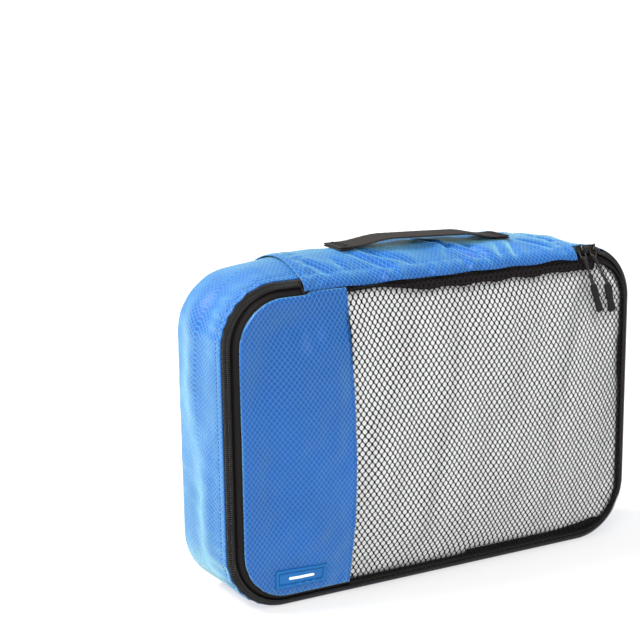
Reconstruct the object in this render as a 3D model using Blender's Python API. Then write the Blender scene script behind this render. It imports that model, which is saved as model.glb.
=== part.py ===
"""A stuffed packing cube: a soft zipped travel bag that stands on its bottom gusset.

The bag is a gusset strip round a back panel. Its front is a lid of a plain fabric
band and a mesh window, with a coil zipper round three and a bit sides. The lid turns
on the sewn seam at the top. Two sliders are parked at the zipper's top right end.
Frame: +Z up, origin at the middle of the bottom, the lid faces -Y.
"""

import math

import bmesh
import bpy
from mathutils import Matrix, Vector

# ---------------------------------------------------------------- driving dimensions
HALF_WIDTH = 0.175
HEIGHT = 0.233            # to the sewn front edge of the top; the stuffed top rises above it
CORNER_R = 0.044
FRONT_Y = -0.030          # outer edge of the zipper band
BACK_Y = 0.0355           # rear edge of the gusset
CLOTH = 0.0012            # thickness of a doubled or hemmed fabric wall
GAP = 0.0003

BAND_IN = 0.010           # how far the zipper band runs in from the outline
BAND_FORWARD = 0.009      # and forward from the gusset to the lid

LID_BULGE = 0.015
LID_BULGE_POWER = 2.5
BACK_BULGE = 0.006
TOP_CROWN = 0.0100

LAP_RIGHT = 0.119         # where the top gusset is lapped over the side gusset
LAP_LEFT = -0.1145
LAP_UNDER = 0.010         # how far the side gusset runs on under the lap
WINDOW_X = -0.083         # seam between the fabric band and the mesh window

HINGE = Vector((0, -0.0405, 0.2245))
CORNER = Vector((HALF_WIDTH - CORNER_R, 0, HEIGHT - CORNER_R))   # top right corner centre

SLIDER_LENGTH = 0.0084
LEFT_SLIDER_AT = 0.1246               # distance along the outline from the top middle
RIGHT_SLIDER_ANGLE = math.radians(7)  # past the start of the corner

ARC_STEPS = 12

# ---------------------------------------------------------------- scene and materials
for old in list(bpy.data.objects):
    bpy.data.objects.remove(old)


def material(name, colour, roughness, metallic=0.0):
    made = bpy.data.materials.new(name)
    made.use_nodes = True
    shader = made.node_tree.nodes["Principled BSDF"]
    shader.inputs["Base Color"].default_value = (*colour, 1)
    shader.inputs["Roughness"].default_value = roughness
    shader.inputs["Metallic"].default_value = metallic
    return made


RIPSTOP = material("blue_ripstop", (0.05, 0.17, 0.52), 0.45)
MESH = material("black_mesh", (0.02, 0.018, 0.018), 0.6)
TAPE = material("black_tape", (0.022, 0.018, 0.018), 0.7)
COIL = material("black_coil", (0.035, 0.03, 0.03), 0.4)
WEBBING = material("black_webbing", (0.045, 0.038, 0.035), 0.75)
SLIDER_METAL = material("black_slider_metal", (0.03, 0.028, 0.028), 0.3, 0.8)
GRIP_PLASTIC = material("black_grip", (0.03, 0.028, 0.027), 0.5)
LABEL_PVC = material("blue_label", (0.03, 0.24, 0.60), 0.4)


def add_object(name, mesh, skin):
    mesh.materials.append(skin)
    made = bpy.data.objects.new(name, mesh)
    bpy.context.scene.collection.objects.link(made)
    return made


def closed_mesh(name, points, faces):
    """A mesh from points and faces, with its faces turned outward."""
    mesh = bpy.data.meshes.new(name)
    mesh.from_pydata([tuple(p) for p in points], [], faces)
    shape = bmesh.new()
    shape.from_mesh(mesh)
    bmesh.ops.recalc_face_normals(shape, faces=shape.faces)
    shape.to_mesh(mesh)
    shape.free()
    return mesh


# ---------------------------------------------------------------- the outline
STRAIGHT_X = HALF_WIDTH - CORNER_R
STRAIGHT_Z = HEIGHT - 2 * CORNER_R
ARC = CORNER_R * math.pi / 2
# Each stretch, clockwise from the top middle: its length, and where it starts.
STRETCHES = (
    ("line", STRAIGHT_X, (0, HEIGHT), (1, 0)),
    ("arc", ARC, (STRAIGHT_X, HEIGHT - CORNER_R), 90),
    ("line", STRAIGHT_Z, (HALF_WIDTH, HEIGHT - CORNER_R), (0, -1)),
    ("arc", ARC, (STRAIGHT_X, CORNER_R), 0),
    ("line", 2 * STRAIGHT_X, (STRAIGHT_X, 0), (-1, 0)),
    ("arc", ARC, (-STRAIGHT_X, CORNER_R), -90),
    ("line", STRAIGHT_Z, (-HALF_WIDTH, CORNER_R), (0, 1)),
    ("arc", ARC, (-STRAIGHT_X, HEIGHT - CORNER_R), 180),
    ("line", STRAIGHT_X, (-STRAIGHT_X, HEIGHT), (1, 0)),
)
OUTLINE_LENGTH = sum(stretch[1] for stretch in STRETCHES)


def outline_at(distance):
    """(x, z, inward x, inward z) of the outline, clockwise from the top middle."""
    left = min(max(distance, 0.0), OUTLINE_LENGTH)
    for kind, length, place, way in STRETCHES:
        if left <= length + 1e-9:
            break
        left -= length
    if kind == "line":
        x, z = place[0] + way[0] * left, place[1] + way[1] * left
        return x, z, way[1], -way[0]
    angle = math.radians(way) - left / CORNER_R
    out_x, out_z = math.cos(angle), math.sin(angle)
    return place[0] + CORNER_R * out_x, place[1] + CORNER_R * out_z, -out_x, -out_z


def stops(first, last, extra=()):
    """The distances between first and last where a swept strip has a section."""
    found, start = [first, last, *extra], 0.0
    for kind, length, _, _ in STRETCHES:
        steps = ARC_STEPS if kind == "arc" else 1
        found += [start + length * i / steps for i in range(steps)]
        start += length
    return sorted({round(d, 7) for d in found if first <= d <= last})


def smooth(value, low, high):
    t = min(max((value - low) / (high - low), 0.0), 1.0)
    return t * t * (3 - 2 * t)


def crown_share(x):
    """The crown settles toward the right."""
    return 1 - 0.45 * smooth(x, -0.07, 0.09)


def crown(x, y):
    """How far the stuffing lifts the top gusset."""
    along = smooth(x, -0.165, -0.100) * (1 - smooth(x, 0.085, 0.140))
    across = 1 - min(abs((y - 0.003) / 0.033), 1.0) ** 2
    return TOP_CROWN * along * across * crown_share(x)


def lifted(point):
    x, y, z = point
    return Vector((x, y, z + crown(x, y) * smooth(z, 0.205, 0.230)))


# ---------------------------------------------------------------- shape builders
def strip(name, distances, section, skin, closed=False):
    """A solid swept along the outline. section(distance) gives (inward, y) points."""
    points, faces = [], []
    for distance in distances:
        x, z, in_x, in_z = outline_at(distance)
        ring = section(distance)
        points += [lifted((x + n * in_x, y, z + n * in_z)) for n, y in ring]
    size, rings = len(ring), len(distances)
    for i in range(rings if closed else rings - 1):
        j = (i + 1) % rings
        for k in range(size):
            m = (k + 1) % size
            faces.append((i * size + k, i * size + m, j * size + m, j * size + k))
    if not closed:
        faces += [tuple(range(size)), tuple(range((rings - 1) * size, rings * size))]
    return add_object(name, closed_mesh(name, points, faces), skin)


def plate(name, xs, low, high, rows, front, thickness, skin):
    """A curved sheet. At each x it spans low(x) to high(x); front(x, z) is its y."""
    points, faces = [], []
    for depth in (0.0, thickness):
        for x in xs:
            for k in range(rows + 1):
                z = low(x) + (high(x) - low(x)) * k / rows
                points.append((x, front(x, z) + depth, z))
    wide, tall = len(xs), rows + 1
    half = wide * tall
    for i in range(wide - 1):
        for k in range(tall - 1):
            a, b = i * tall + k, (i + 1) * tall + k
            faces.append((a, b, b + 1, a + 1))
            faces.append((half + a, half + a + 1, half + b + 1, half + b))
    edge = [i * tall for i in range(wide)]
    edge += [(wide - 1) * tall + k for k in range(1, tall)]
    edge += [i * tall + tall - 1 for i in range(wide - 2, -1, -1)]
    edge += list(range(tall - 2, 0, -1))
    for a, b in zip(edge, edge[1:] + edge[:1]):
        faces.append((a, b, half + b, half + a))
    return add_object(name, closed_mesh(name, points, faces), skin)


def spaced(first, last, count):
    return [first + (last - first) * i / count for i in range(count + 1)]


def prism(name, outline, low, high, place, skin):
    """A polygon in the place's first two axes, from low to high on its third."""
    size = len(outline)
    points = [place @ Vector((a, b, h)) for h in (low, high) for a, b in outline]
    faces = [tuple(range(size)), tuple(range(size, 2 * size))]
    faces += [(k, (k + 1) % size, size + (k + 1) % size, size + k) for k in range(size)]
    return add_object(name, closed_mesh(name, points, faces), skin)


def join(target, helper):
    """A Boolean union with a helper that is itself left out."""
    helper.hide_render = True
    helper.display_type = "WIRE"
    cut = target.modifiers.new("join", "BOOLEAN")
    cut.operation = "UNION"
    cut.object = helper
    return target


# ---------------------------------------------------------------- the bag's walls
END = OUTLINE_LENGTH
SIDE_START = LAP_RIGHT - LAP_UNDER
SIDE_END = END + LAP_LEFT + LAP_UNDER
NOTCH_END = STRAIGHT_X + CORNER_R * math.radians(25)
WALL_Y = (BACK_Y, 0.022, 0.003, -0.016)    # stations across the gusset's depth


def side_gusset_section(distance):
    """A flat strip, cut back where the parked sliders turn with the lid."""
    front = -0.0268 if distance < NOTCH_END else FRONT_Y + GAP
    ys = (*WALL_Y, front)
    return [(0.0, y) for y in ys] + [(CLOTH, y) for y in reversed(ys)]


def make_side_gusset():
    extra = [SIDE_START + 0.005, LAP_RIGHT, 0.125, NOTCH_END, NOTCH_END + GAP]
    extra += [END + LAP_LEFT, SIDE_END - 0.005, END - 0.120, END - 0.126]
    strip(
        "side_gusset", stops(SIDE_START, SIDE_END, extra), side_gusset_section, RIPSTOP
    )


def make_top_gusset():
    """The top strip: lapped on the side gusset, and rolled over the front edge."""
    level = HEIGHT + GAP
    lip = ((-0.0297, level), (-0.0342, 0.2310), (-0.0377, 0.2264))
    inner = [(y, level) for y in WALL_Y] + list(lip)
    outer = [(y, level + CLOTH) for y in WALL_Y]
    outer += [(-0.0303, level + 0.0010), (-0.0352, 0.2318), (-0.0389, 0.2268)]
    ring = inner + outer[::-1]
    xs = [END + LAP_LEFT - END, SIDE_END - 0.005 - END, SIDE_END - END]
    xs += spaced(-0.090, 0.080, 8) + [0.090, 0.100, SIDE_START, SIDE_START + 0.005]
    xs += [LAP_RIGHT - GAP]
    points = [Vector((x, y, z + crown(x, y))) for x in xs for y, z in ring]
    size, faces = len(ring), []
    for i in range(len(xs) - 1):
        for k in range(size):
            a, b = i * size + k, i * size + (k + 1) % size
            faces.append((a, b, b + size, a + size))
    faces += [tuple(range(size)), tuple(range(len(points) - size, len(points)))]
    add_object("top_gusset", closed_mesh("top_gusset", points, faces), RIPSTOP)


def edge_height(x, inset):
    """Half the height of the outline, moved in by inset, at x."""
    radius = CORNER_R - inset
    past = max(abs(x) - STRAIGHT_X, 0.0)
    return STRAIGHT_Z / 2 + math.sqrt(max(radius**2 - past**2, 0.0))


def panel_xs(first, last, inset, count):
    """Columns of a panel, closer together where its corners are round."""
    limit = HALF_WIDTH - inset
    found = set(spaced(first, last, count))
    for k in range(7):
        turn = (HALF_WIDTH - inset - STRAIGHT_X) * math.sin(math.radians(15 * k))
        found |= {STRAIGHT_X + turn, -STRAIGHT_X - turn}
    found = sorted(x for x in found if first - 1e-6 <= x <= last + 1e-6 and abs(x) <= limit)
    kept = [found[0]]
    for x in found[1:]:
        if x - kept[-1] > 0.0012:
            kept.append(x)
    return kept


MIDDLE_Z = HEIGHT / 2


def bulge(x, z, inset, amount):
    u = abs(x) / (HALF_WIDTH - inset)
    v = abs(z - MIDDLE_Z) / (MIDDLE_Z - inset)
    u, v = min(u, 1.0), min(v, 1.0)
    return amount * (1 - u**LID_BULGE_POWER) * (1 - v**LID_BULGE_POWER)


def make_back_panel():
    inset = 0.0004
    plate(
        "back_panel",
        panel_xs(-HALF_WIDTH + inset, HALF_WIDTH - inset, inset, 10),
        lambda x: MIDDLE_Z - edge_height(x, inset),
        lambda x: MIDDLE_Z + edge_height(x, inset),
        8,
        lambda x, z: BACK_Y + GAP + bulge(x, z, inset, BACK_BULGE),
        CLOTH,
        RIPSTOP,
    )


def make_bindings():
    """Black tapes that bind the raw edges inside the seams."""
    inside = CLOTH + 0.0004
    whole = stops(0, END - 1e-4)
    rear = [(inside, 0.0342), (0.0056, 0.0342), (0.0056, 0.0350), (inside, 0.0350)]
    strip("rear_seam_binding", whole, lambda d: rear, TAPE, closed=True)
    front = [(inside, -0.0275), (0.0026, -0.0275), (0.0026, -0.0200), (inside, -0.0200)]
    first = STRAIGHT_X + CORNER_R * math.radians(32)
    strip("front_seam_binding", stops(first, SIDE_END), lambda d: front, TAPE)


# ---------------------------------------------------------------- the zipper
BAND = math.hypot(BAND_IN, BAND_FORWARD)
CHAIN_AT = 0.0043          # the middle of the chain, across the band


def band_point(across, out):
    """(inward, y) of a point on the sloping zipper band."""
    run, rise = BAND_IN / BAND, BAND_FORWARD / BAND
    return across * run - out * rise, FRONT_Y - across * rise - out * run


def band_box(a, b, low, high):
    return [band_point(*p) for p in ((a, low), (b, low), (b, high), (a, high))]


COIL_HALF = 0.0011
CHAIN_START = LAP_RIGHT + 0.0005
CHAIN_END = END + LAP_LEFT - 0.0005
END_STRETCH = STRAIGHT_X + CORNER_R * math.radians(22)
BODY_CHAIN_START = END_STRETCH + 0.0025   # clear of the end stretch as the lid turns
TAPE_LOW, TAPE_HIGH = -0.0021, -0.0014


def make_zipper():
    body = stops(BODY_CHAIN_START, CHAIN_END)
    lid = stops(CHAIN_START, CHAIN_END)
    outer_coil = band_box(0.0010, 0.0036, -COIL_HALF, COIL_HALF)
    inner_coil = band_box(0.0050, 0.0076, -COIL_HALF, COIL_HALF)
    outer_tape = band_box(0.0009, 0.0037, TAPE_LOW, TAPE_HIGH)
    inner_tape = band_box(0.0049, 0.0128, TAPE_LOW, TAPE_HIGH)
    strip("body_zipper_coil", body, lambda d: outer_coil, COIL)
    strip("body_zipper_tape", body, lambda d: outer_tape, TAPE)
    strip("lid_zipper_coil", lid, lambda d: inner_coil, COIL)
    strip("lid_zipper_tape", lid, lambda d: inner_tape, TAPE)
    end = band_box(0.0012, 0.0036, TAPE_LOW, COIL_HALF)
    strip("zipper_end_stretch", stops(CHAIN_START, END_STRETCH), lambda d: end, COIL)
    binding = [(0.0119, -0.0360), (0.0185, -0.0360), (0.0185, -0.0352), (0.0119, -0.0352)]
    strip("lid_seam_binding", stops(CHAIN_START, CHAIN_END), lambda d: binding, TAPE)


# ---------------------------------------------------------------- the lid's face
LID_INSET = 0.0102
LID_FACE = -0.0400


def lid_face(x, z):
    return LID_FACE - bulge(x, z, LID_INSET, LID_BULGE)


def lid_low(x):
    return MIDDLE_Z - edge_height(x, LID_INSET)


def lid_high(x):
    return MIDDLE_Z + edge_height(x, LID_INSET)


def make_lid_face():
    sheet = 0.0010
    left, right = -HALF_WIDTH + LID_INSET, HALF_WIDTH - LID_INSET
    band_xs = panel_xs(left, WINDOW_X - GAP, LID_INSET, 5)
    mesh_xs = panel_xs(WINDOW_X + GAP, right, LID_INSET, 10)
    plate("lid_side_panel", band_xs, lid_low, lid_high, 12, lid_face, sheet, RIPSTOP)
    plate("mesh_window", mesh_xs, lid_low, lid_high, 12, lid_face, sheet, MESH)

    hem_low, hem_high = 0.2140, 0.2226
    hem_thick = 0.0008
    plate(
        "mesh_top_hem",
        [x for x in mesh_xs if x < 0.1345],
        lambda x: hem_low,
        lambda x: hem_high,
        2,
        lambda x, z: lid_face(x, z) - hem_thick - GAP,
        hem_thick,
        MESH,
    )
    seam_half = 0.0045
    plate(
        "window_seam_tape",
        [WINDOW_X - seam_half, WINDOW_X - GAP, WINDOW_X + GAP, WINDOW_X + seam_half],
        lambda x: 0.0125,
        lambda x: HEIGHT - 0.0125,
        12,
        lambda x, z: lid_face(x, z) + sheet + GAP,
        0.0008,
        TAPE,
    )
    label_thick = 0.0012
    plate(
        "label",
        spaced(-0.1425, -0.1035, 3),
        lambda x: 0.0165,
        lambda x: 0.0303,
        2,
        lambda x, z: lid_face(x, z) - label_thick - GAP,
        label_thick,
        LABEL_PVC,
    )


# ---------------------------------------------------------------- the carry handle
def make_handle():
    """A webbing strap, its ends folded under and sewn flat, lying in a low arch."""
    width = 0.024
    y_mid = 0.002
    first, last = -0.069, 0.077
    flat, web = 0.0105, 0.0016
    arch = 0.0052

    def base(x):
        level = min(max(x, first), last - flat)
        return TOP_CROWN * crown_share(level) + HEIGHT + 2 * GAP + CLOTH

    xs = [first, first + flat, first + 0.022, first + 0.037]
    xs += spaced(first + 0.052, last - 0.052, 2)
    xs += [last - 0.037, last - 0.022, last - flat, last]
    inner, outer = [], []
    for x in xs:
        ease = smooth(x, first + flat, first + 0.050)
        ease *= 1 - smooth(x, last - 0.050, last - flat)
        under = base(x) + arch * ease
        on_end = x <= first + flat or x >= last - flat
        inner.append((x, under))
        outer.append((x, under + (2 * web if on_end else web)))
    place = Matrix(((1, 0, 0, 0), (0, 0, 1, y_mid), (0, 1, 0, 0), (0, 0, 0, 1)))
    ring = inner + outer[::-1]
    prism("carry_handle", ring, -width / 2, width / 2, place, WEBBING)
    for side, x in (("left", first + 0.0055), ("right", last - 0.0055)):
        top = (base(first) if side == "left" else base(last)) + 2 * web
        block = [(x - 0.0025, top + GAP), (x + 0.0025, top + GAP)]
        block += [(x + 0.0025, top + 0.0008), (x - 0.0025, top + 0.0008)]
        prism(f"{side}_handle_bartack", block, -0.0095, 0.0095, place, TAPE)


# ---------------------------------------------------------------- sliders and pulls
TAB_LENGTH = 0.0106
TAB_LIFT = math.radians(10)
CORD_R = 0.00055
PIN_OUT = 0.0036           # the tab's pin above the chain


def slider_frame(distance):
    """Matrix with axes along the chain, across the band and out, on the chain's middle."""
    x, z, in_x, in_z = outline_at(distance)
    inward, y = band_point(CHAIN_AT, 0)
    run, rise = BAND_IN / BAND, BAND_FORWARD / BAND
    along = Vector((-in_z, 0, in_x))
    across = Vector((in_x * run, -rise, in_z * run))
    out = Vector((-in_x * rise, -run, -in_z * rise))
    origin = Vector((x + inward * in_x, y, z + inward * in_z))
    frame = Matrix((along, across, out)).transposed().to_4x4()
    frame.translation = origin
    return frame


def make_slider(side, distance, swivel):
    """The cast body: two plates, the web between the coils, and the crown."""
    frame = slider_frame(distance)
    top_half, low_half, web = 0.0036, 0.0022, 0.0003
    beam = [(-low_half, -0.0032), (low_half, -0.0032), (low_half, -0.0025)]
    beam += [(web, -0.0025), (web, 0.0015), (top_half, 0.0015), (top_half, 0.0026)]
    beam += [(-top_half, 0.0026), (-top_half, 0.0015), (-web, 0.0015)]
    beam += [(-web, -0.0025), (-low_half, -0.0025)]
    # The beam's outline is in (across, out), and it runs along the chain.
    turn = Matrix(((0, 0, 1, 0), (1, 0, 0, 0), (0, 1, 0, 0), (0, 0, 0, 1)))
    half = SLIDER_LENGTH / 2
    body = prism(f"{side}_slider", beam, -half, half, frame @ turn, SLIDER_METAL)

    crown_half, post, reach = 0.0034, 0.0010, 0.0056
    arch = [(-crown_half, 0.0022), (-crown_half + post, 0.0022)]
    arch += [(-crown_half + post, 0.0045), (crown_half - post, 0.0045)]
    arch += [(crown_half - post, 0.0022), (crown_half, 0.0022), (crown_half, 0.0048)]
    arch += [(crown_half - 0.0008, reach), (-crown_half + 0.0008, reach)]
    arch += [(-crown_half, 0.0048)]
    turned = frame @ Matrix.Rotation(swivel, 4, "Z")
    # The crown's outline is in (towards the tab, out), and its width is along the pin.
    stand = Matrix(((1, 0, 0, 0), (0, 0, -1, 0), (0, 1, 0, 0), (0, 0, 0, 1)))
    helper = prism(f"{side}_crown", arch, -0.0008, 0.0008, turned @ stand, SLIDER_METAL)
    join(body, helper)
    return turned


def make_pull(side, turned, grip_top, grip_end, grip_width):
    """The tab on its pin, the cord looped through it, and the moulded grip."""
    pin = turned @ Vector((0, 0, PIN_OUT))
    lift = turned.copy()
    lift.translation = pin
    lift = lift @ Matrix.Rotation(-TAB_LIFT, 4, "Y")
    thick, bar = 0.0006, 0.0006
    outer_half, inner_half = 0.0029, 0.0019
    ring = [(-bar, -outer_half), (TAB_LENGTH, -outer_half)]
    ring += [(TAB_LENGTH, outer_half), (-bar, outer_half)]
    hole = [(bar, -inner_half), (TAB_LENGTH - 2 * bar, -inner_half)]
    hole += [(TAB_LENGTH - 2 * bar, inner_half), (bar, inner_half)]
    points = [lift @ Vector((*p, h)) for h in (-thick, thick) for p in ring + hole]
    faces = []
    for k in range(4):
        m = (k + 1) % 4
        faces += [(k, m, 4 + m, 4 + k), (8 + k, 8 + m, 12 + m, 12 + k)]
        faces += [(k, m, 8 + m, 8 + k), (4 + k, 4 + m, 12 + m, 12 + k)]
    name = f"{side}_pull_tab"
    add_object(name, closed_mesh(name, points, faces), SLIDER_METAL)

    eye = lift @ Vector((TAB_LENGTH - bar, 0, 0))
    pin_axis = (lift.to_3x3() @ Vector((0, 1, 0))).normalized()
    down = Vector((0, 0, -1))
    down = (down - down.dot(pin_axis) * pin_axis).normalized()
    front = pin_axis.cross(down).normalized()
    if front.y > 0:
        front = -front
    loop_r = 0.00175
    top, end = Vector(grip_top), Vector(grip_end)
    fall = (end - top).normalized()
    side_way = fall.cross(front).normalized()
    near = 0.00065
    stop = top - fall * GAP
    route = [stop + front * near, top.lerp(eye, 0.5) + front * 0.0013]
    for k in range(7):
        angle = math.pi * k / 6
        route.append(eye + loop_r * (front * math.cos(angle) - down * math.sin(angle)))
    route += [top.lerp(eye, 0.5) - front * 0.0013, stop - front * near]
    curve = bpy.data.curves.new(f"{side}_pull_cord", "CURVE")
    curve.dimensions = "3D"
    curve.bevel_depth = CORD_R
    curve.bevel_resolution = 1
    curve.use_fill_caps = True
    line = curve.splines.new("POLY")
    line.points.add(len(route) - 1)
    for point, place in zip(line.points, route):
        point.co = (*place, 1)
    cord = bpy.data.objects.new(f"{side}_pull_cord", curve)
    curve.materials.append(TAPE)
    bpy.context.scene.collection.objects.link(cord)

    length = (end - top).length
    flat = fall.cross(side_way).normalized()
    place = Matrix((fall, side_way, flat)).transposed().to_4x4()
    place.translation = top
    neck, half = 0.36 * grip_width, grip_width / 2
    outline = [(0, -neck), (0.35 * length, -0.40 * grip_width), (0.86 * length, -half)]
    outline += [(length, -0.30 * grip_width), (length, 0.30 * grip_width)]
    outline += [(0.86 * length, half), (0.35 * length, 0.40 * grip_width), (0, neck)]
    prism(f"{side}_pull_grip", outline, -0.0013, 0.0013, place, GRIP_PLASTIC)


def make_sliders():
    left = make_slider("left", LEFT_SLIDER_AT, math.radians(75))
    make_pull("left", left, (0.1296, -0.0462, 0.2068), (0.1366, -0.0478, 0.1850), 0.0062)
    right_at = STRAIGHT_X + CORNER_R * RIGHT_SLIDER_ANGLE
    right = make_slider("right", right_at, math.radians(62))
    make_pull("right", right, (0.1428, -0.0460, 0.2052), (0.1482, -0.0476, 0.1838), 0.0080)


make_side_gusset()
make_top_gusset()
make_back_panel()
make_bindings()
make_zipper()
make_lid_face()
make_handle()
make_sliders()
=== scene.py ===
"""The looks of a stuffed packing cube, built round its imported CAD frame.

Every size is in metres in the frame's own axes: +Z up, the lid faces -Y, and the
origin is the middle of the bottom. The soft CAD solids are replaced by sewn fabric,
a knitted net, a coil zipper with its teeth, webbing and stitches.
"""

import math

import bpy
import numpy as np
from mathutils import Matrix, Vector


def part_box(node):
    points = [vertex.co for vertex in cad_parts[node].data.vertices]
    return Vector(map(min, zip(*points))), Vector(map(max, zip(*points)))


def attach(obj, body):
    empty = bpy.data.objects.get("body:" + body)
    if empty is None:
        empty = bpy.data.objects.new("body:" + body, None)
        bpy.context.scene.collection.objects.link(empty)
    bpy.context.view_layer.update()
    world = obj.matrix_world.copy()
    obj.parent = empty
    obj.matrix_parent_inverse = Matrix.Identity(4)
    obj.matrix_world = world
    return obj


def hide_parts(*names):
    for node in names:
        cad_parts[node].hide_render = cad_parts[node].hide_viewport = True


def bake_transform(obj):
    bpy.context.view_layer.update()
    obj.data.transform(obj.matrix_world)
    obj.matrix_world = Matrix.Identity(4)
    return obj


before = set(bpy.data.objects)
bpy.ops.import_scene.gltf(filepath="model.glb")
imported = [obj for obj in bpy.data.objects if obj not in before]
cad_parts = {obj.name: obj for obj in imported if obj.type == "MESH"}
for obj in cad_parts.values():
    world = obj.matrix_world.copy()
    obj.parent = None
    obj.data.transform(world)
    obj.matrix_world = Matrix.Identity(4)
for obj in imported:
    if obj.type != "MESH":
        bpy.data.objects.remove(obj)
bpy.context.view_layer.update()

# ---- the design's sizes
GUSSET_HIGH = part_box("side_gusset")[1]
HALF_WIDTH, BACK_Y = GUSSET_HIGH.x, GUSSET_HIGH.y
HEIGHT = 0.233
CORNER_R = 0.044
FRONT_Y = -0.030
FRONT_BRINK, REAR_BRINK = FRONT_Y + 0.0001, BACK_Y + 0.0002    # the cloth's own ends
BAND_IN, BAND_FORWARD = 0.010, 0.009
BAND = math.hypot(BAND_IN, BAND_FORWARD)
RUN, RISE = BAND_IN / BAND, BAND_FORWARD / BAND      # the zipper band's slope
LID_INSET, LID_FACE, LID_BULGE = 0.0102, -0.0400, 0.015
BACK_BULGE = 0.006
TOP_CROWN = 0.0100
LAP_RIGHT, LAP_LEFT, LAP_UNDER = 0.119, -0.1145, 0.010
WINDOW_X = -0.083
MIDDLE_Z = HEIGHT / 2
STRAIGHT_X = HALF_WIDTH - CORNER_R
STRAIGHT_Z = HEIGHT - 2 * CORNER_R
ARC = CORNER_R * math.pi / 2
STRETCHES = (
    ("line", STRAIGHT_X, (0, HEIGHT), (1, 0)),
    ("arc", ARC, (STRAIGHT_X, HEIGHT - CORNER_R), 90),
    ("line", STRAIGHT_Z, (HALF_WIDTH, HEIGHT - CORNER_R), (0, -1)),
    ("arc", ARC, (STRAIGHT_X, CORNER_R), 0),
    ("line", 2 * STRAIGHT_X, (STRAIGHT_X, 0), (-1, 0)),
    ("arc", ARC, (-STRAIGHT_X, CORNER_R), -90),
    ("line", STRAIGHT_Z, (-HALF_WIDTH, CORNER_R), (0, 1)),
    ("arc", ARC, (-STRAIGHT_X, HEIGHT - CORNER_R), 180),
    ("line", STRAIGHT_X, (-STRAIGHT_X, HEIGHT), (1, 0)),
)
TURN = 2 * math.pi
END = sum(stretch[1] for stretch in STRETCHES)
CHAIN_START = LAP_RIGHT + 0.0005
CHAIN_END = END + LAP_LEFT - 0.0005
END_STRETCH = STRAIGHT_X + CORNER_R * math.radians(22)
BODY_CHAIN_START = END_STRETCH + 0.0025
NOTCH_END = STRAIGHT_X + CORNER_R * math.radians(25)
SIDE_START, SIDE_END = LAP_RIGHT - LAP_UNDER, END + LAP_LEFT + LAP_UNDER

HANDLE_FIRST, HANDLE_LAST, HANDLE_Y, HANDLE_WIDE = -0.069, 0.077, 0.002, 0.024
STITCH = 0.0030            # from one stitch to the next
FINE = 0.0003              # the closest stations, at a folded edge
RIPSTOP_WIDE, RIPSTOP_TALL = 0.00355, 0.00458    # corner to corner of its diamonds
NET_WIDE, NET_TALL = 0.00446, 0.0062


# ---- camera and light
def add_camera():
    yaw, pitch, away = 0.5714, 0.2567, 1.3035
    target = Vector((0, 0, 0.124))
    data = bpy.data.cameras.new("camera")
    data.lens = 98.4
    data.shift_x, data.shift_y = -0.149, 0.126
    camera = bpy.data.objects.new("camera", data)
    flat = math.cos(pitch)
    back = Vector((-math.sin(yaw) * flat, -math.cos(yaw) * flat, math.sin(pitch)))
    camera.location = target + away * back
    camera.rotation_euler = (math.pi / 2 - pitch, 0, -yaw)
    bpy.context.scene.collection.objects.link(camera)
    bpy.context.scene.camera = camera


def add_light():
    world = bpy.data.worlds.new("studio")
    world.use_nodes = True
    back = world.node_tree.nodes["Background"]
    back.inputs["Color"].default_value = (1, 1, 1, 1)
    back.inputs["Strength"].default_value = 0.55
    bpy.context.scene.world = world
    for name, azimuth, height, strength, spread in (
        ("rim", -118, 50, 4.9, 24),
        ("fill", -30, 40, 3.0, 45),
    ):
        data = bpy.data.lights.new(name, "SUN")
        data.energy, data.angle = strength, math.radians(spread)
        lamp = bpy.data.objects.new(name, data)
        lamp.rotation_euler = (math.radians(90 - height), 0, math.radians(azimuth))
        bpy.context.scene.collection.objects.link(lamp)
    bpy.context.scene.view_settings.view_transform = "Standard"


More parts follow.
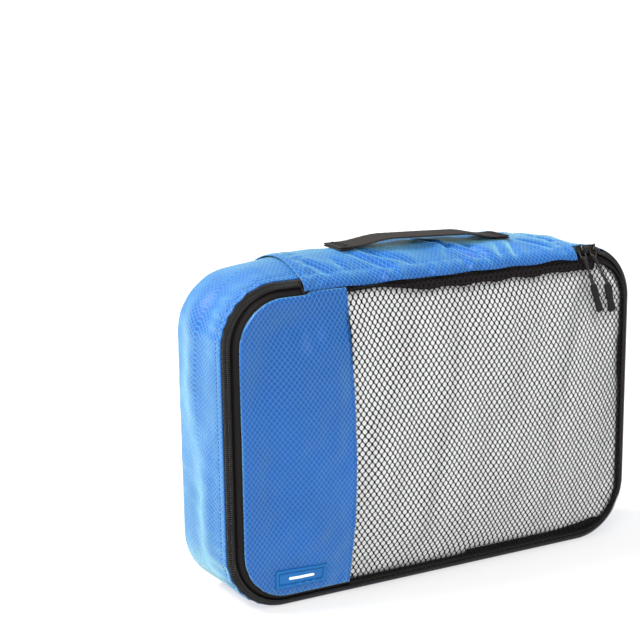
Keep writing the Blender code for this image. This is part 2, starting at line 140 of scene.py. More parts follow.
# ---- material nodes
class Shader:
    """A Principled material and short ways to add nodes to it."""

    def __init__(self, name, colour, roughness, **more):
        self.made = bpy.data.materials.new(name)
        self.made.use_nodes = True
        self.tree = self.made.node_tree
        self.main = self.tree.nodes["Principled BSDF"]
        self.set("Base Color", (*colour, 1))
        self.set("Roughness", roughness)
        for socket, value in more.items():
            self.set(socket.replace("_", " "), value)

    def set(self, socket, value):
        self.main.inputs[socket].default_value = value

    def add(self, kind, **settings):
        node = self.tree.nodes.new("ShaderNode" + kind)
        for key, value in settings.items():
            setattr(node, key, value)
        return node

    def link(self, source, target):
        if isinstance(source, (int, float)):
            target.default_value = source
        else:
            self.tree.links.new(source, target)

    def math(self, operation, *values):
        node = self.add("Math", operation=operation)
        for value, socket in zip(values, node.inputs):
            self.link(value, socket)
        return node.outputs[0]

    def uv(self):
        split = self.add("SeparateXYZ")
        self.link(self.add("UVMap", uv_map="cloth").outputs[0], split.inputs[0])
        return split.outputs[0], split.outputs[1]

    def ramp(self, value, low, high):
        """0 below low, 1 above high, smooth between."""
        node = self.add("MapRange", interpolation_type="SMOOTHSTEP")
        self.link(value, node.inputs[0])
        node.inputs[1].default_value, node.inputs[2].default_value = low, high
        return node.outputs[0]

    def noise(self, scale, detail=2.0):
        node = self.add("TexNoise")
        node.inputs["Scale"].default_value = scale
        node.inputs["Detail"].default_value = detail
        self.link(self.add("TexCoord").outputs["Object"], node.inputs["Vector"])
        return node.outputs["Fac"]

    def comb(self, value, pitch):
        """The distance to the nearest line, from 0 on it to 1 half way between two."""
        turns = self.math("FRACT", self.math("DIVIDE", value, pitch))
        return self.math("ABSOLUTE", self.math("SUBTRACT", self.math("MULTIPLY", turns, 2), 1))

    def mix(self, share, first, second):
        node = self.add("Mix", data_type="RGBA")
        self.link(share, node.inputs[0])
        for colour, socket in ((first, node.inputs[6]), (second, node.inputs[7])):
            if isinstance(colour, tuple):
                socket.default_value = (*colour, 1)
            else:
                self.link(colour, socket)
        return node.outputs[2]

    def colour(self, source):
        self.link(source, self.main.inputs["Base Color"])

    def bump(self, height, distance, strength):
        node = self.add("Bump")
        node.inputs["Strength"].default_value = strength
        node.inputs["Distance"].default_value = distance
        self.link(height, node.inputs["Height"])
        earlier = self.main.inputs["Normal"]
        if earlier.is_linked:
            self.link(earlier.links[0].from_socket, node.inputs["Normal"])
        self.link(node.outputs[0], earlier)


def ripstop():
    """Coated nylon: a close plain weave crossed by heavier threads on the diagonal."""
    base, line = (0.002, 0.068, 0.30), (0.018, 0.190, 0.56)
    s = Shader("blue_ripstop", base, 0.36, Specular_IOR_Level=0.36, Sheen_Weight=0.55,
               Sheen_Roughness=0.45, Sheen_Tint=(0.46, 1.0, 0.90, 1))
    u, v = s.uv()
    wide, tall = s.math("DIVIDE", u, RIPSTOP_WIDE), s.math("DIVIDE", v, RIPSTOP_TALL)
    lines = []
    for side in (s.math("ADD", wide, tall), s.math("SUBTRACT", wide, tall)):
        lines.append(s.ramp(s.comb(side, 1.0), 0.78, 0.96))
    grid = s.math("MAXIMUM", *lines)
    cross = s.math("MULTIPLY", *lines)
    # Soft noise blotches between a lighter and a darker copy of the base are painted shade, standing in
    # for the shading of the cloth's folds.
    light, dark, knot = (tuple(share * c for c in colour)
                         for share, colour in ((1.03, base), (0.80, base), (1.25, line)))
    painted_fold_shade = s.mix(s.ramp(s.noise(15.0), 0.30, 0.72), light, dark)
    inked = s.mix(s.math("MULTIPLY", grid, 0.80), painted_fold_shade, line)
    s.colour(s.mix(s.math("MULTIPLY", cross, 0.35), inked, knot))
    yarns = s.math("ADD", s.comb(u, 0.00034), s.comb(v, 0.00034))
    s.bump(yarns, 0.00003, 0.5)
    s.bump(grid, 0.00016, 0.9)
    s.bump(s.noise(160.0, 3.0), 0.0006, 0.35)
    return s.made


def grained(name, colour, roughness, specular, grain, patches=None):
    """A plain material. grain is its bump's (scale, detail, depth, strength), and
    patches is (scale, first colour, second colour) for soft blotches."""
    s = Shader(name, colour, roughness, Specular_IOR_Level=specular)
    scale, detail, depth, strength = grain
    s.bump(s.noise(scale, detail), depth, strength)
    if patches:
        s.colour(s.mix(s.noise(patches[0]), *patches[1:]))
    return s.made


def folded_net():
    """The net doubled over as a hem: black, with its holes showing as dents, painted darker as shade."""
    s = Shader("black_folded_net", (0.008, 0.006, 0.006), 0.6, Specular_IOR_Level=0.07)
    u, v = s.uv()
    a = s.math("ADD", s.math("DIVIDE", u, NET_WIDE), s.math("DIVIDE", v, NET_TALL))
    b = s.math("SUBTRACT", s.math("DIVIDE", u, NET_WIDE), s.math("DIVIDE", v, NET_TALL))
    dents = s.math("MULTIPLY", s.comb(a, 1.0), s.comb(b, 1.0))
    dent = s.ramp(dents, 0.12, 0.45)
    # The middles of the holes are painted near black: painted shade in the hollows.
    s.colour(s.mix(dent, (0.012, 0.009, 0.010), (0.002, 0.002, 0.002)))
    s.bump(dent, -0.0004, 0.7)
    s.bump(s.noise(2400.0), 0.0001, 0.5)
    return s.made


def zipper_tape():
    s = Shader("black_zipper_tape", (0.008, 0.007, 0.007), 0.60, Specular_IOR_Level=0.11)
    u, v = s.uv()
    weave = s.comb(s.math("ADD", u, s.math("MULTIPLY", v, 1.6)), 0.00062)
    s.bump(weave, 0.00008, 0.6)
    s.colour(s.mix(weave, (0.004, 0.003, 0.003), (0.012, 0.010, 0.010)))
    return s.made


def webbing():
    """Woven strap: ribs across it, and a grain along it."""
    s = Shader("black_webbing", (0.02, 0.016, 0.015), 0.7, Specular_IOR_Level=0.3,
               Sheen_Tint=(1.0, 0.92, 0.88, 1))
    u, v = s.uv()
    ribs, grain = s.comb(u, 0.0011), s.comb(v, 0.0014)
    checks = s.math("MULTIPLY", ribs, grain)
    s.colour(s.mix(checks, (0.009, 0.007, 0.006), (0.030, 0.023, 0.020)))
    s.bump(checks, 0.00022, 0.8)
    s.bump(s.noise(1800.0), 0.00012, 0.5)
    return s.made


def thread(name, colour):
    return grained(name, colour, 0.6, 0.25, (3000.0, 2.0, 0.00008, 0.6))


def slider_metal():
    s = Shader("black_slider_metal", (0.03, 0.027, 0.026), 0.3, Metallic=0.65)
    worn = s.ramp(s.noise(420.0, 4.0), 0.58, 0.72)
    s.colour(s.mix(worn, (0.022, 0.020, 0.019), (0.10, 0.09, 0.08)))
    s.bump(s.noise(900.0), 0.0001, 0.25)
    return s.made


def cord_braid():
    s = Shader("black_cord_braid", (0.014, 0.012, 0.012), 0.6, Specular_IOR_Level=0.3)
    u, v = s.uv()
    strands = [s.comb(s.math(way, u, v), 0.0007) for way in ("ADD", "SUBTRACT")]
    braid = s.math("MAXIMUM", *strands)
    s.bump(braid, 0.00012, 0.8)
    s.colour(s.mix(braid, (0.008, 0.007, 0.007), (0.026, 0.022, 0.020)))
    return s.made


def label_pvc(name, colour):
    shade = tuple(0.88 * c for c in colour)
    return grained(name, colour, 0.36, 0.3, (700.0, 2.0, 0.00005, 0.4), (140.0, colour, shade))


def stuffing_cotton():
    s = Shader("white_stuffing", (0.9, 0.9, 0.9), 0.85, Sheen_Weight=0.2)
    s.colour(s.mix(s.noise(40.0, 3.0), (0.95, 0.948, 0.945), (0.90, 0.895, 0.89)))
    s.bump(s.noise(900.0, 3.0), 0.0002, 0.5)
    s.bump(s.noise(60.0, 2.0), 0.002, 0.3)
    return s.made


RIPSTOP = ripstop()
NET = grained("black_net_yarn", (0.005, 0.004, 0.004), 0.5, 0.09, (2600.0, 2.0, 0.00008, 0.5),
              (500.0, (0.003, 0.003, 0.003), (0.008, 0.007, 0.007)))
FOLDED_NET = folded_net()
TAPE = zipper_tape()
COIL = grained("black_coil_nylon", (0.008, 0.007, 0.007), 0.30, 0.38, (1500.0, 2.0, 0.00005, 0.4))
WEBBING = webbing()
BLUE_THREAD = thread("blue_thread", (0.003, 0.060, 0.26))
BLACK_THREAD = thread("black_thread", (0.01, 0.009, 0.009))
METAL = slider_metal()
BRAID = cord_braid()
GRIP = grained("black_grip", (0.006, 0.006, 0.006), 0.45, 0.18, (1300.0, 3.0, 0.0001, 0.5),
               (180.0, (0.004, 0.004, 0.004), (0.009, 0.008, 0.008)))
LABEL = label_pvc("blue_label_pvc", (0.002, 0.115, 0.36))
LABEL_MARK = label_pvc("white_label_pvc", (0.85, 0.86, 0.87))
STUFFING = stuffing_cotton()


# ---- the design's shapes
def outline_at(distance):
    """(x, z, inward x, inward z) of the outline, clockwise from the top middle."""
    left = min(max(distance, 0.0), END)
    for kind, length, place, way in STRETCHES:
        if left <= length + 1e-9:
            break
        left -= length
    if kind == "line":
        return place[0] + way[0] * left, place[1] + way[1] * left, way[1], -way[0]
    angle = math.radians(way) - left / CORNER_R
    out_x, out_z = math.cos(angle), math.sin(angle)
    return place[0] + CORNER_R * out_x, place[1] + CORNER_R * out_z, -out_x, -out_z


def smooth(value, low, high):
    t = np.clip((np.asarray(value, float) - low) / (high - low), 0.0, 1.0)
    return t * t * (3 - 2 * t)


def squared(wave, power):
    """A sine with its sign kept and its rounds made squarer by a power below 1."""
    return np.sign(wave) * np.abs(wave) ** power


def hump(value, middle, width):
    """1 at middle, with the bell's slopes on both sides."""
    return np.exp(-(((value - middle) / width) ** 2))


def near(value, middle, reach):
    """1 at middle, falling smoothly to 0 at reach from it."""
    return 1 - smooth(np.abs(np.asarray(value, float) - middle), 0, reach)


def between(value, low, full, still, high):
    """1 from full to still, falling smoothly to 0 at low and at high."""
    return smooth(value, low, full) * (1 - smooth(value, still, high))


def crown_share(x):
    return 1 - 0.45 * smooth(x, -0.07, 0.09)


def crown(x, y):
    along = between(x, -0.165, -0.100, 0.085, 0.140) * crown_share(x)
    return TOP_CROWN * along * (1 - np.minimum(np.abs((y - 0.003) / 0.033), 1.0) ** 2)


def lifted(x, y, z):
    return z + crown(x, y) * smooth(z, 0.205, 0.230)


def band_point(across, out):
    """(inward, y) of a place across the zipper's band and out from it."""
    return across * RUN - out * RISE, FRONT_Y - across * RISE - out * RUN


def outline_point(distance, inward, y):
    """A point inward from the outline, raised with the crown of the top."""
    x, z, in_x, in_z = outline_at(distance)
    x, z = x + inward * in_x, z + inward * in_z
    return x, y, float(lifted(x, y, z))


def bulge(x, z, inset, amount):
    u = np.minimum(np.abs(x) / (HALF_WIDTH - inset), 1.0)
    v = np.minimum(np.abs(z - MIDDLE_Z) / (MIDDLE_Z - inset), 1.0)
    return amount * (1 - u**2.5) * (1 - v**2.5)


def edge_height(x, inset):
    past = np.maximum(np.abs(x) - STRAIGHT_X, 0.0)
    return STRAIGHT_Z / 2 + np.sqrt(np.maximum((CORNER_R - inset) ** 2 - past**2, 0.0))


def inside_by(x, z):
    """How far a point is inside the outline, and how far along it from an axis."""
    qx = np.abs(x) - STRAIGHT_X
    qz = np.abs(z - MIDDLE_Z) - STRAIGHT_Z / 2
    corner = np.hypot(np.maximum(qx, 0), np.maximum(qz, 0))
    depth = CORNER_R - corner - np.minimum(np.maximum(qx, qz), 0)
    turn = np.arctan2(np.maximum(qx, 1e-9), np.maximum(qz, 1e-9))
    on_side = STRAIGHT_X + ARC - np.minimum(qz, 0)
    along = np.where(qz > 0, np.where(qx > 0, STRAIGHT_X + CORNER_R * turn, np.abs(x)), on_side)
    return depth, np.where((qz <= 0) & (qx <= qz), np.abs(x), along)


WAVES = 10                 # sine waves in one random height


def ripples(places, length, seed):
    """A smooth random height, from about -1 to 1, over places, with hills that long."""
    picks = np.random.default_rng(seed)
    size = places.shape[-1]
    total = np.zeros(places.shape[:-1])
    for _ in range(WAVES):
        way = picks.normal(size=size)
        way *= TURN / length * picks.uniform(0.6, 1.3) / np.linalg.norm(way)
        total += np.sin(places @ way + picks.uniform(0, TURN))
    return total / math.sqrt(WAVES)


def wrinkles(x, z):
    """The soft waves that both the band and the net share on the lid's face."""
    place = joined(x, z)
    return 0.0009 * ripples(place * (1, 0.45), 0.05, 3) + 0.00035 * ripples(place, 0.017, 4)


def lid_face(x, z):
    flat = smooth(inside_by(x, z)[0], LID_INSET, LID_INSET + 0.03)
    return LID_FACE - bulge(x, z, LID_INSET, LID_BULGE) + wrinkles(x, z) * flat


# ---- mesh builders
def joined(*axes):
    """Points, or (u, v) pairs, from one array for each axis."""
    return np.stack(np.broadcast_arrays(*axes), -1)


def add_mesh(name, points, faces, skin, uv=(0, 0)):
    """A mesh object. Its faces are turned outward, and uv is one (u, v) for each point,
    or one for them all."""
    points = np.asarray(points, float).reshape(-1, 3)
    quads = np.array([f[:4] for f in faces if len(f) == 4] or [[0, 0, 0, 0]])
    a, b, c, d = (points[quads[:, k]] for k in range(4))
    volume = np.einsum("ij,ij->", a, np.cross(b, c)) + np.einsum("ij,ij->", a, np.cross(c, d))
    if volume < 0:
        faces = [tuple(f[::-1]) for f in faces]
    mesh = bpy.data.meshes.new(name)
    mesh.from_pydata(points.tolist(), [], [tuple(map(int, f)) for f in faces])
    layer = mesh.uv_layers.new(name="cloth")
    corner = np.zeros(len(mesh.loops), np.int32)
    mesh.loops.foreach_get("vertex_index", corner)
    flat = np.broadcast_to(np.reshape(uv, (-1, 2)), (len(points), 2))[corner]
    layer.data.foreach_set("uv", flat.astype(np.float32).ravel())
    mesh.shade_smooth()
    mesh.materials.append(skin)
    made = bpy.data.objects.new(name, mesh)
    bpy.context.scene.collection.objects.link(made)
    return made


def ring_faces(rings, size, closed=False):
    """Quads between rings of points, each ring closed on itself, with end caps."""
    faces = []
    for i in range(rings if closed else rings - 1):
        j = (i + 1) % rings
        for k in range(size):
            m = (k + 1) % size
            faces.append((i * size + k, i * size + m, j * size + m, j * size + k))
    if not closed:
        faces += [tuple(range(size))[::-1], tuple(range((rings - 1) * size, rings * size))]
    return faces


def steps(first, last, size):
    return np.linspace(first, last, max(2, round((last - first) / size) + 1))


def graded(first, last, fine, coarse):
    """Stations from first to last, close together at both ends."""
    half, step, found = (last - first) / 2, fine, [0.0]
    while found[-1] + step < half:
        found.append(found[-1] + step)
        step = min(step * 1.3, coarse)
    near_end = np.array(found)
    return np.concatenate([first + near_end, [first + half], (last - near_end)[::-1]])


def sweep(name, distances, profile, skin, shape=None, closed=False):
    """A strip swept along the outline. profile is a closed ring of (inward, y) points,
    or a function of the distance that gives one; shape(d, inward, y) may bend it."""
    rings = [profile(d) if callable(profile) else profile for d in distances]
    rings = np.array(rings, float)
    frames = np.array([outline_at(d) for d in distances])
    inward, y = rings[..., 0], rings[..., 1]
    d = np.asarray(distances)[:, None]
    if shape:
        inward, y = shape(d, inward, y)
    x = frames[:, 0:1] + inward * frames[:, 2:3]
    z = frames[:, 1:2] + inward * frames[:, 3:4]
    z = lifted(x, y, z)
    steps_across = np.hypot(*(np.roll(rings, -1, 1) - rings)[0].T)
    v = np.concatenate([[0], np.cumsum(steps_across)[:-1]])
    faces = ring_faces(len(distances), rings.shape[1], closed)
    return add_mesh(name, joined(x, y, z), faces, skin, joined(d, v))


def shell(name, front, back, skin, uv):
    """A closed sheet between two grids of points, front and back."""
    wide, tall = front.shape[:2]
    half = wide * tall
    index = np.arange(half).reshape(wide, tall)
    quarters = index[:-1, :-1], index[1:, :-1], index[1:, 1:], index[:-1, 1:]
    a, b, c, d = (quarter.ravel() for quarter in quarters)
    faces = list(zip(a, b, c, d)) + list(zip(d + half, c + half, b + half, a + half))
    edge = np.concatenate([index[:, 0], index[-1, 1:], index[-2::-1, -1], index[0, -2:0:-1]])
    after = np.roll(edge, -1)
    faces += list(zip(edge, edge + half, after + half, after))
    points = np.concatenate([front.reshape(-1, 3), back.reshape(-1, 3)])
    return add_mesh(name, points, faces, skin, np.concatenate([uv.reshape(-1, 2)] * 2))


def sheet(name, x, front, back, z, skin):
    """A closed sheet that faces -Y: y is front on its one side and back on the other."""
    return shell(name, joined(x, front, z), joined(x, back, z), skin, joined(x, z))


def run_along(*axes):
    """The distance along a path to each of its points."""
    step = np.linalg.norm(np.diff(np.array(axes)), axis=0)
    return np.concatenate([[0], np.cumsum(step)])


def unit(vectors):
    return vectors / np.linalg.norm(vectors, axis=-1, keepdims=True)


def tube(name, path, radius, skin, sides):
    """A round rod along a path of points."""
    path = np.asarray(path, float)
    way = unit(np.gradient(path, axis=0))
    side = [unit(np.cross(way[0], (0.3, 0.9, 0.2)))]
    for straight in way[1:]:
        side.append(unit(side[-1] - straight * (side[-1] @ straight)))
    side = np.array(side)
    angle = np.linspace(0, TURN, sides, endpoint=False)
    cos, sin = np.cos(angle)[:, None], np.sin(angle)[:, None]
    points = path[:, None] + radius * (cos * side[:, None] + sin * np.cross(way, side)[:, None])
    uv = joined(run_along(*path.T)[:, None], angle * radius)
    return add_mesh(name, points, ring_faces(len(path), sides), skin, uv)


def merge(name, pieces):
    """One object from several meshes of the same material."""
    points, faces, uvs, start = [], [], [], 0
    skin = pieces[0].data.materials[0]
    for piece in pieces:
        mesh = piece.data
        size = len(mesh.vertices)
        place = np.zeros(size * 3)
        mesh.vertices.foreach_get("co", place)
        points.append(place.reshape(-1, 3))
        corner = np.zeros(len(mesh.loops), np.int32)
        mesh.loops.foreach_get("vertex_index", corner)
        flat = np.zeros(len(corner) * 2, np.float32)
        mesh.uv_layers[0].data.foreach_get("uv", flat)
        uv = np.zeros((size, 2))
        uv[corner] = flat.reshape(-1, 2)
        uvs.append(uv)
        faces += [tuple(start + v for v in p.vertices) for p in mesh.polygons]
        start += size
        bpy.data.objects.remove(piece)
    return add_mesh(name, np.concatenate(points), faces, skin, np.concatenate(uvs))


def stitches(name, path, normals, skin, length=0.62, thick=0.00026):
    """Stitches along a path of points, one from each point to the next. Each is a
    short bowed thread whose ends sink into the cloth. length is its share of a step.
    normals is one direction for the whole path, or one for each point."""
    path = np.asarray(path, float)
    normals = np.broadcast_to(np.asarray(normals, float), path.shape)
    normal = unit(normals[:-1] + normals[1:])
    along = path[1:] - path[:-1]
    across = unit(np.cross(along, normal))
    stations = np.array([0.0, 0.12, 0.5, 0.88, 1.0])
    height = 0.00012 * np.array([-1.0, 0.55, 1.0, 0.55, -1.0])
    girth = np.array([0.55, 0.9, 1.0, 0.9, 0.55])
    sides, count, size = 6, len(along), len(stations) * 6
    angle = np.linspace(0, TURN, sides, endpoint=False)
    share = (1 - length) / 2 + stations * length
    centre = path[:-1, None] + along[:, None] * share[:, None] + normal[:, None] * height[:, None]
    points = centre[:, :, None] + thick * girth[:, None, None] * (
        np.cos(angle)[:, None] * across[:, None, None] + np.sin(angle)[:, None] * normal[:, None, None]
    )
    one = ring_faces(len(stations), sides)
    faces = [tuple(i * size + v for v in face) for i in range(count) for face in one]
    return add_mesh(name, points, faces, skin)


def finish_piece(piece, body, slot, *nodes):
    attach(piece, body)
    if nodes:
        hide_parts(*nodes)


def tape(name, distances, ring, body, *nodes, **more):
    """A tape along the outline."""
    finish_piece(sweep(name, distances, ring, TAPE, **more), body, "tape", *nodes)


def normals_of(grid):
    """Unit normals of a grid of points, by its neighbours."""
    return unit(np.cross(np.gradient(grid, axis=0), np.gradient(grid, axis=1)))


def rolled_edge(inside, radius):
    """How far a folded edge of that radius has curled away, inside from its brink."""
    short = np.clip(radius - inside, 0, radius)
    return radius - np.sqrt(np.maximum(radius**2 - short**2, 0))


def stitch_wave(along):
    return np.cos(TURN * along / STITCH)


# ---- the gussets
HEM_STITCH = 0.0055        # from the gusset's front edge to its line of stitches
CLOTH, DOUBLED = 0.0007, 0.0012


def gusset_ring(distance):
    """The wall's section: it starts further back where the sliders stand."""
    front = -0.0268 if distance < NOTCH_END else FRONT_BRINK
    y = graded(front, REAR_BRINK, FINE, 0.0027)[::-1]
    ahead, behind = y - front, REAR_BRINK - y
    outer = rolled_edge(ahead, 0.0006) + rolled_edge(behind, 0.0010)
    thick = CLOTH + (DOUBLED - CLOTH) * (1 - smooth(ahead, HEM_STITCH + 0.001, HEM_STITCH + 0.003))
    inner = np.maximum(thick - rolled_edge(ahead, 0.0004), outer + 0.0002)
    return list(zip(outer, y)) + list(zip(inner, y))[-2:0:-1]


def corner_tuck(along):
    """How far the stuffed wall is drawn in behind the sliders, at the upper right corner."""
    return 0.0042 * near(along, STRAIGHT_X + 0.020, 0.026)


def gusset_bend(d, inward, y):
    """Stuffing pushes the gusset out, and the hem's stitches pucker it."""
    frames = np.array([outline_at(v) for v in d[:, 0]])
    upward = frames[:, 3:4]
    off_floor = 1 - smooth(upward, -0.3, 0.75)
    off_laps = between(d, LAP_RIGHT, LAP_RIGHT + 0.03, END - 0.145, END - 0.118)
    free = off_floor * off_laps
    ahead = y - FRONT_BRINK
    place = joined(frames[:, 0:1], y, frames[:, 1:2])
    push_soft = 0.0012 * ripples(place * (1, 2.2, 0.55), 0.075, 14)
    middle = 1 - np.minimum(np.abs((y - 0.004) / 0.0335), 1) ** 2.2
    push = 0.0024 * middle * free + push_soft * free * smooth(ahead, 0.006, 0.022) * middle
    push = push + 0.0010 * ripples(place, 0.055, 11) * smooth(ahead, 0.004, 0.02) * middle * free
    push = push + 0.00020 * ripples(place, 0.016, 12) * smooth(ahead, 0.002, 0.01) * free
    corner = sum(near(d, middle_of, reach) for middle_of, reach in (
        (STRAIGHT_X + 1.5 * ARC + STRAIGHT_Z, 0.05),
        (STRAIGHT_X * 3 + 2.5 * ARC + STRAIGHT_Z, 0.06),
        (STRAIGHT_X * 3 + 3.5 * ARC + 2 * STRAIGHT_Z, 0.05),
    ))
    gathers = np.sin(TURN * d / 0.0105 + 1.3 * np.sin(d * 90))
    push = push + 0.0009 * gathers * corner * near(ahead, 0.010, 0.020) * off_laps
    push = push - corner_tuck(d) * smooth(ahead, 0.001, 0.016)
    upper_left = STRAIGHT_X * 3 + 3.45 * ARC + 2 * STRAIGHT_Z
    push = push - 0.0040 * near(d, upper_left, 0.034) * hump(y, -0.003, 0.013)
    groove = hump(ahead, HEM_STITCH, 0.0007)
    push = push - 0.00028 * groove + 0.00010 * groove * stitch_wave(d)
    tip = 1 - smooth(ahead, 0, 0.0030)
    push = push + 0.00012 * tip * stitch_wave(d)
    y = y + 0.00020 * tip * stitch_wave(d)
    return inward - push, y


def on_gusset(distance, y):
    """A point on the gusset's outer face, and the way out from it."""
    d, w = np.array([[distance]]), np.array([[y]])
    inward, moved = gusset_bend(d, np.zeros((1, 1)), w)
    in_x, in_z = outline_at(distance)[2:]
    return outline_point(distance, inward[0, 0], moved[0, 0]), (-in_x, 0, -in_z)


def make_side_gusset():
    distances = np.linspace(SIDE_START, SIDE_END, round((SIDE_END - SIDE_START) / 0.001))
    piece = sweep("side_gusset_fabric", distances, gusset_ring, RIPSTOP, gusset_bend)
    finish_piece(piece, "bag", "ripstop", "side_gusset")
    along = np.arange(NOTCH_END + 0.002, CHAIN_END, STITCH)
    path, outward = zip(*(on_gusset(d, FRONT_Y + HEM_STITCH) for d in along))
    finish_piece(stitches("gusset_hem_stitches", path, outward, BLUE_THREAD), "bag", "ripstop")


CREASES = (                # start, end, depth: valleys in the top where the handle pulls it
    ((-0.064, -0.012), (-0.040, -0.033), 0.0018),
    ((-0.052, -0.008), (-0.020, -0.031), 0.0013),
    ((-0.104, -0.014), (-0.090, -0.032), 0.0016),
    ((-0.080, -0.016), (-0.076, -0.030), 0.0012),
    ((0.004, 0.010), (0.036, -0.034), 0.0030),
    ((0.036, -0.010), (0.041, -0.036), 0.0024),
    ((0.024, -0.002), (0.010, -0.026), 0.0013),
    ((0.076, -0.012), (0.066, -0.034), 0.0019),
    ((0.084, -0.010), (0.100, -0.030), 0.0016),
    ((0.060, -0.016), (0.052, -0.036), 0.0014),
    ((0.100, 0.004), (0.112, -0.020), 0.0013),
    ((-0.072, 0.014), (-0.094, 0.028), 0.0010),
    ((0.078, 0.014), (0.096, 0.027), 0.0010),
)


def creases(x, y):
    height = np.zeros_like(x)
    for (ax, ay), (bx, by), depth in CREASES:
        length = math.hypot(bx - ax, by - ay)
        along = ((x - ax) * (bx - ax) + (y - ay) * (by - ay)) / length
        off = ((x - ax) * (by - ay) - (y - ay) * (bx - ax)) / length
        window = between(along, -0.006, 0.008, length - 0.008, length + 0.005)
        valley = hump(off, 0, 0.0024) - 0.42 * hump(np.abs(off), 0.0062, 0.0040)
        height = height - depth * valley * window
    return height


LIP_BEND = ((-0.0270, 0.2345), (-0.0366, 0.2345), (-0.0396, 0.2254))
FLAT_TRAVEL, LIP_TRAVEL = REAR_BRINK - LIP_BEND[0][0], 0.0155
TOP_TRAVEL = FLAT_TRAVEL + LIP_TRAVEL


def top_surface(x, travel):
    """A point of the top gusset's outer face, travel metres in from its rear edge."""
    t = np.clip((travel - FLAT_TRAVEL) / LIP_TRAVEL, 0, 1)
    bend = [(1 - t) ** 2 * a + 2 * t * (1 - t) * b + t * t * c for a, b, c in zip(*LIP_BEND)]
    y = np.where(travel < FLAT_TRAVEL, REAR_BRINK - travel, bend[0])
    z = np.where(travel < FLAT_TRAVEL, LIP_BEND[0][1], bend[1])
    ahead = TOP_TRAVEL - travel
    z = z + crown(x, y) - rolled_edge(travel, 0.0012)
    behind_strap = between(x, -0.050, -0.010, 0.072, 0.108)
    z = z + 0.0036 * behind_strap * near(y, 0.0215, 0.0140)
    free = near(x, (LAP_LEFT + LAP_RIGHT) / 2, 0.125) ** 0.5
    puckers = ripples(x[..., None], 0.0105, 21) * hump(ahead, 0.004, 0.009)
    out = 0.00055 * puckers * free
    place = joined(x, travel * 0.6)
    out = out + 0.0007 * ripples(place, 0.030, 22) * free * smooth(travel, 0.002, 0.012)
    out = out + creases(x, y) * (travel < FLAT_TRAVEL + 0.012)
    lap = np.minimum(x - LAP_LEFT, LAP_RIGHT - x)
    out = out + 0.0005 * (1 - smooth(lap, 0.0078, 0.0092)) - rolled_edge(lap, 0.0006)
    for line in (0.0016, 0.0076):
        out = out - 0.0006 * hump(lap, line, 0.0007)
    gathers = np.sin(TURN * (travel + 0.3 * x) / 0.0088) * hump(lap, 0.011, 0.005)
    out = out + 0.00045 * gathers
    tip = 1 - smooth(ahead, 0, 0.0022)
    out = out - 0.0005 * tip * tip + 0.00016 * tip * stitch_wave(x)
    lean = smooth(t, 0.2, 1.0)
    sag = 0.0006 * ripples(x[..., None], 0.045, 23)
    return joined(x, y - out * lean, z + out * (1 - 0.7 * lean) + sag * lean)


def make_top_gusset():
    x = graded(LAP_LEFT, LAP_RIGHT - 0.0003, FINE, 0.0010)[:, None]
    travel = graded(0, TOP_TRAVEL, FINE, 0.0013)
    front = top_surface(x, travel)
    normals = normals_of(front)
    back = front + CLOTH * normals * (1 if normals[5, 5, 2] < 0 else -1)
    piece = shell("top_gusset_fabric", front, back, RIPSTOP, joined(x, travel))
    finish_piece(piece, "bag", "ripstop", "top_gusset")
    lines = []
    for x0 in (LAP_LEFT + 0.0016, LAP_LEFT + 0.0076, LAP_RIGHT - 0.0019, LAP_RIGHT - 0.0079):
        travel = np.arange(0.0012, TOP_TRAVEL - 0.001, STITCH)
        x = np.full_like(travel, x0)
        path = top_surface(x, travel)
        way = np.gradient(path, axis=0)
        lines.append(stitches("lap_line", path, np.cross((1, 0, 0), way), BLUE_THREAD))
    finish_piece(merge("lap_stitches", lines), "bag", "ripstop")


def make_back_panel():
    """The plain rear wall, pushed out a little by what is inside."""
    inset, edge = 0.0004, 0.0011
    x = graded(-HALF_WIDTH + inset, HALF_WIDTH - inset, FINE, 0.0032)[:, None]
    z = MIDDLE_Z + edge_height(x, inset) * (2 * graded(0, 1, 0.0015, 0.016) - 1)
    depth, along = inside_by(x, z)
    y = BACK_Y + 0.0015 + bulge(x, z, inset, BACK_BULGE) - rolled_edge(depth - inset, edge)
    place = joined(x, z)
    loose = smooth(depth, 0.004, 0.03)
    y = y + loose * (0.0010 * ripples(place * (1, 0.5), 0.06, 31) + 0.0003 * ripples(place, 0.02, 32))
    puckers = np.sin(TURN * (x + z) / 0.012) * hump(depth, 0.006, 0.006)
    y = y + 0.00025 * puckers
    off_x, off_z = np.maximum(x - STRAIGHT_X, 0), np.maximum(z - HEIGHT + CORNER_R, 0)
    off = np.maximum(np.hypot(off_x, off_z), 1e-6)
    tuck = corner_tuck(along) * (1 - smooth(depth, 0, 0.030)) * (z > MIDDLE_Z) * (x > 0)
    outer = joined(x - tuck * off_x / off, y, z - tuck * off_z / off)
    piece = shell("back_panel_fabric", outer, outer - (0, CLOTH, 0), RIPSTOP, place)
    finish_piece(piece, "bag", "ripstop", "back_panel")


# ---- the lid's face
def lid_rise(x, z):
    """The lid's top edge reaches up behind the lip, and the net hangs over the zipper."""
    covered = between(x, LAP_LEFT, LAP_LEFT + 0.006, 0.108, 0.116)
    hang = 0.0024 * (1 - smooth(z, 0.0100, 0.0240)) * smooth(x, WINDOW_X - 0.001, WINDOW_X + 0.012)
    hang = hang * (1 - smooth(x, 0.100, 0.135))
    return z + 0.0022 * smooth(z, 0.2120, 0.2228) * covered - hang


BAND_DENTS = (              # x, z, half width, half height, depth of each soft dent
    (-0.1500, 0.1660, 0.0120, 0.0220, 0.0042),
    (-0.1180, 0.2020, 0.0300, 0.0110, 0.0034),
    (-0.0960, 0.1500, 0.0110, 0.0300, -0.0030),
    (-0.1330, 0.0760, 0.0200, 0.0340, 0.0024),
    (-0.1240, 0.1220, 0.0130, 0.0260, -0.0016),
)


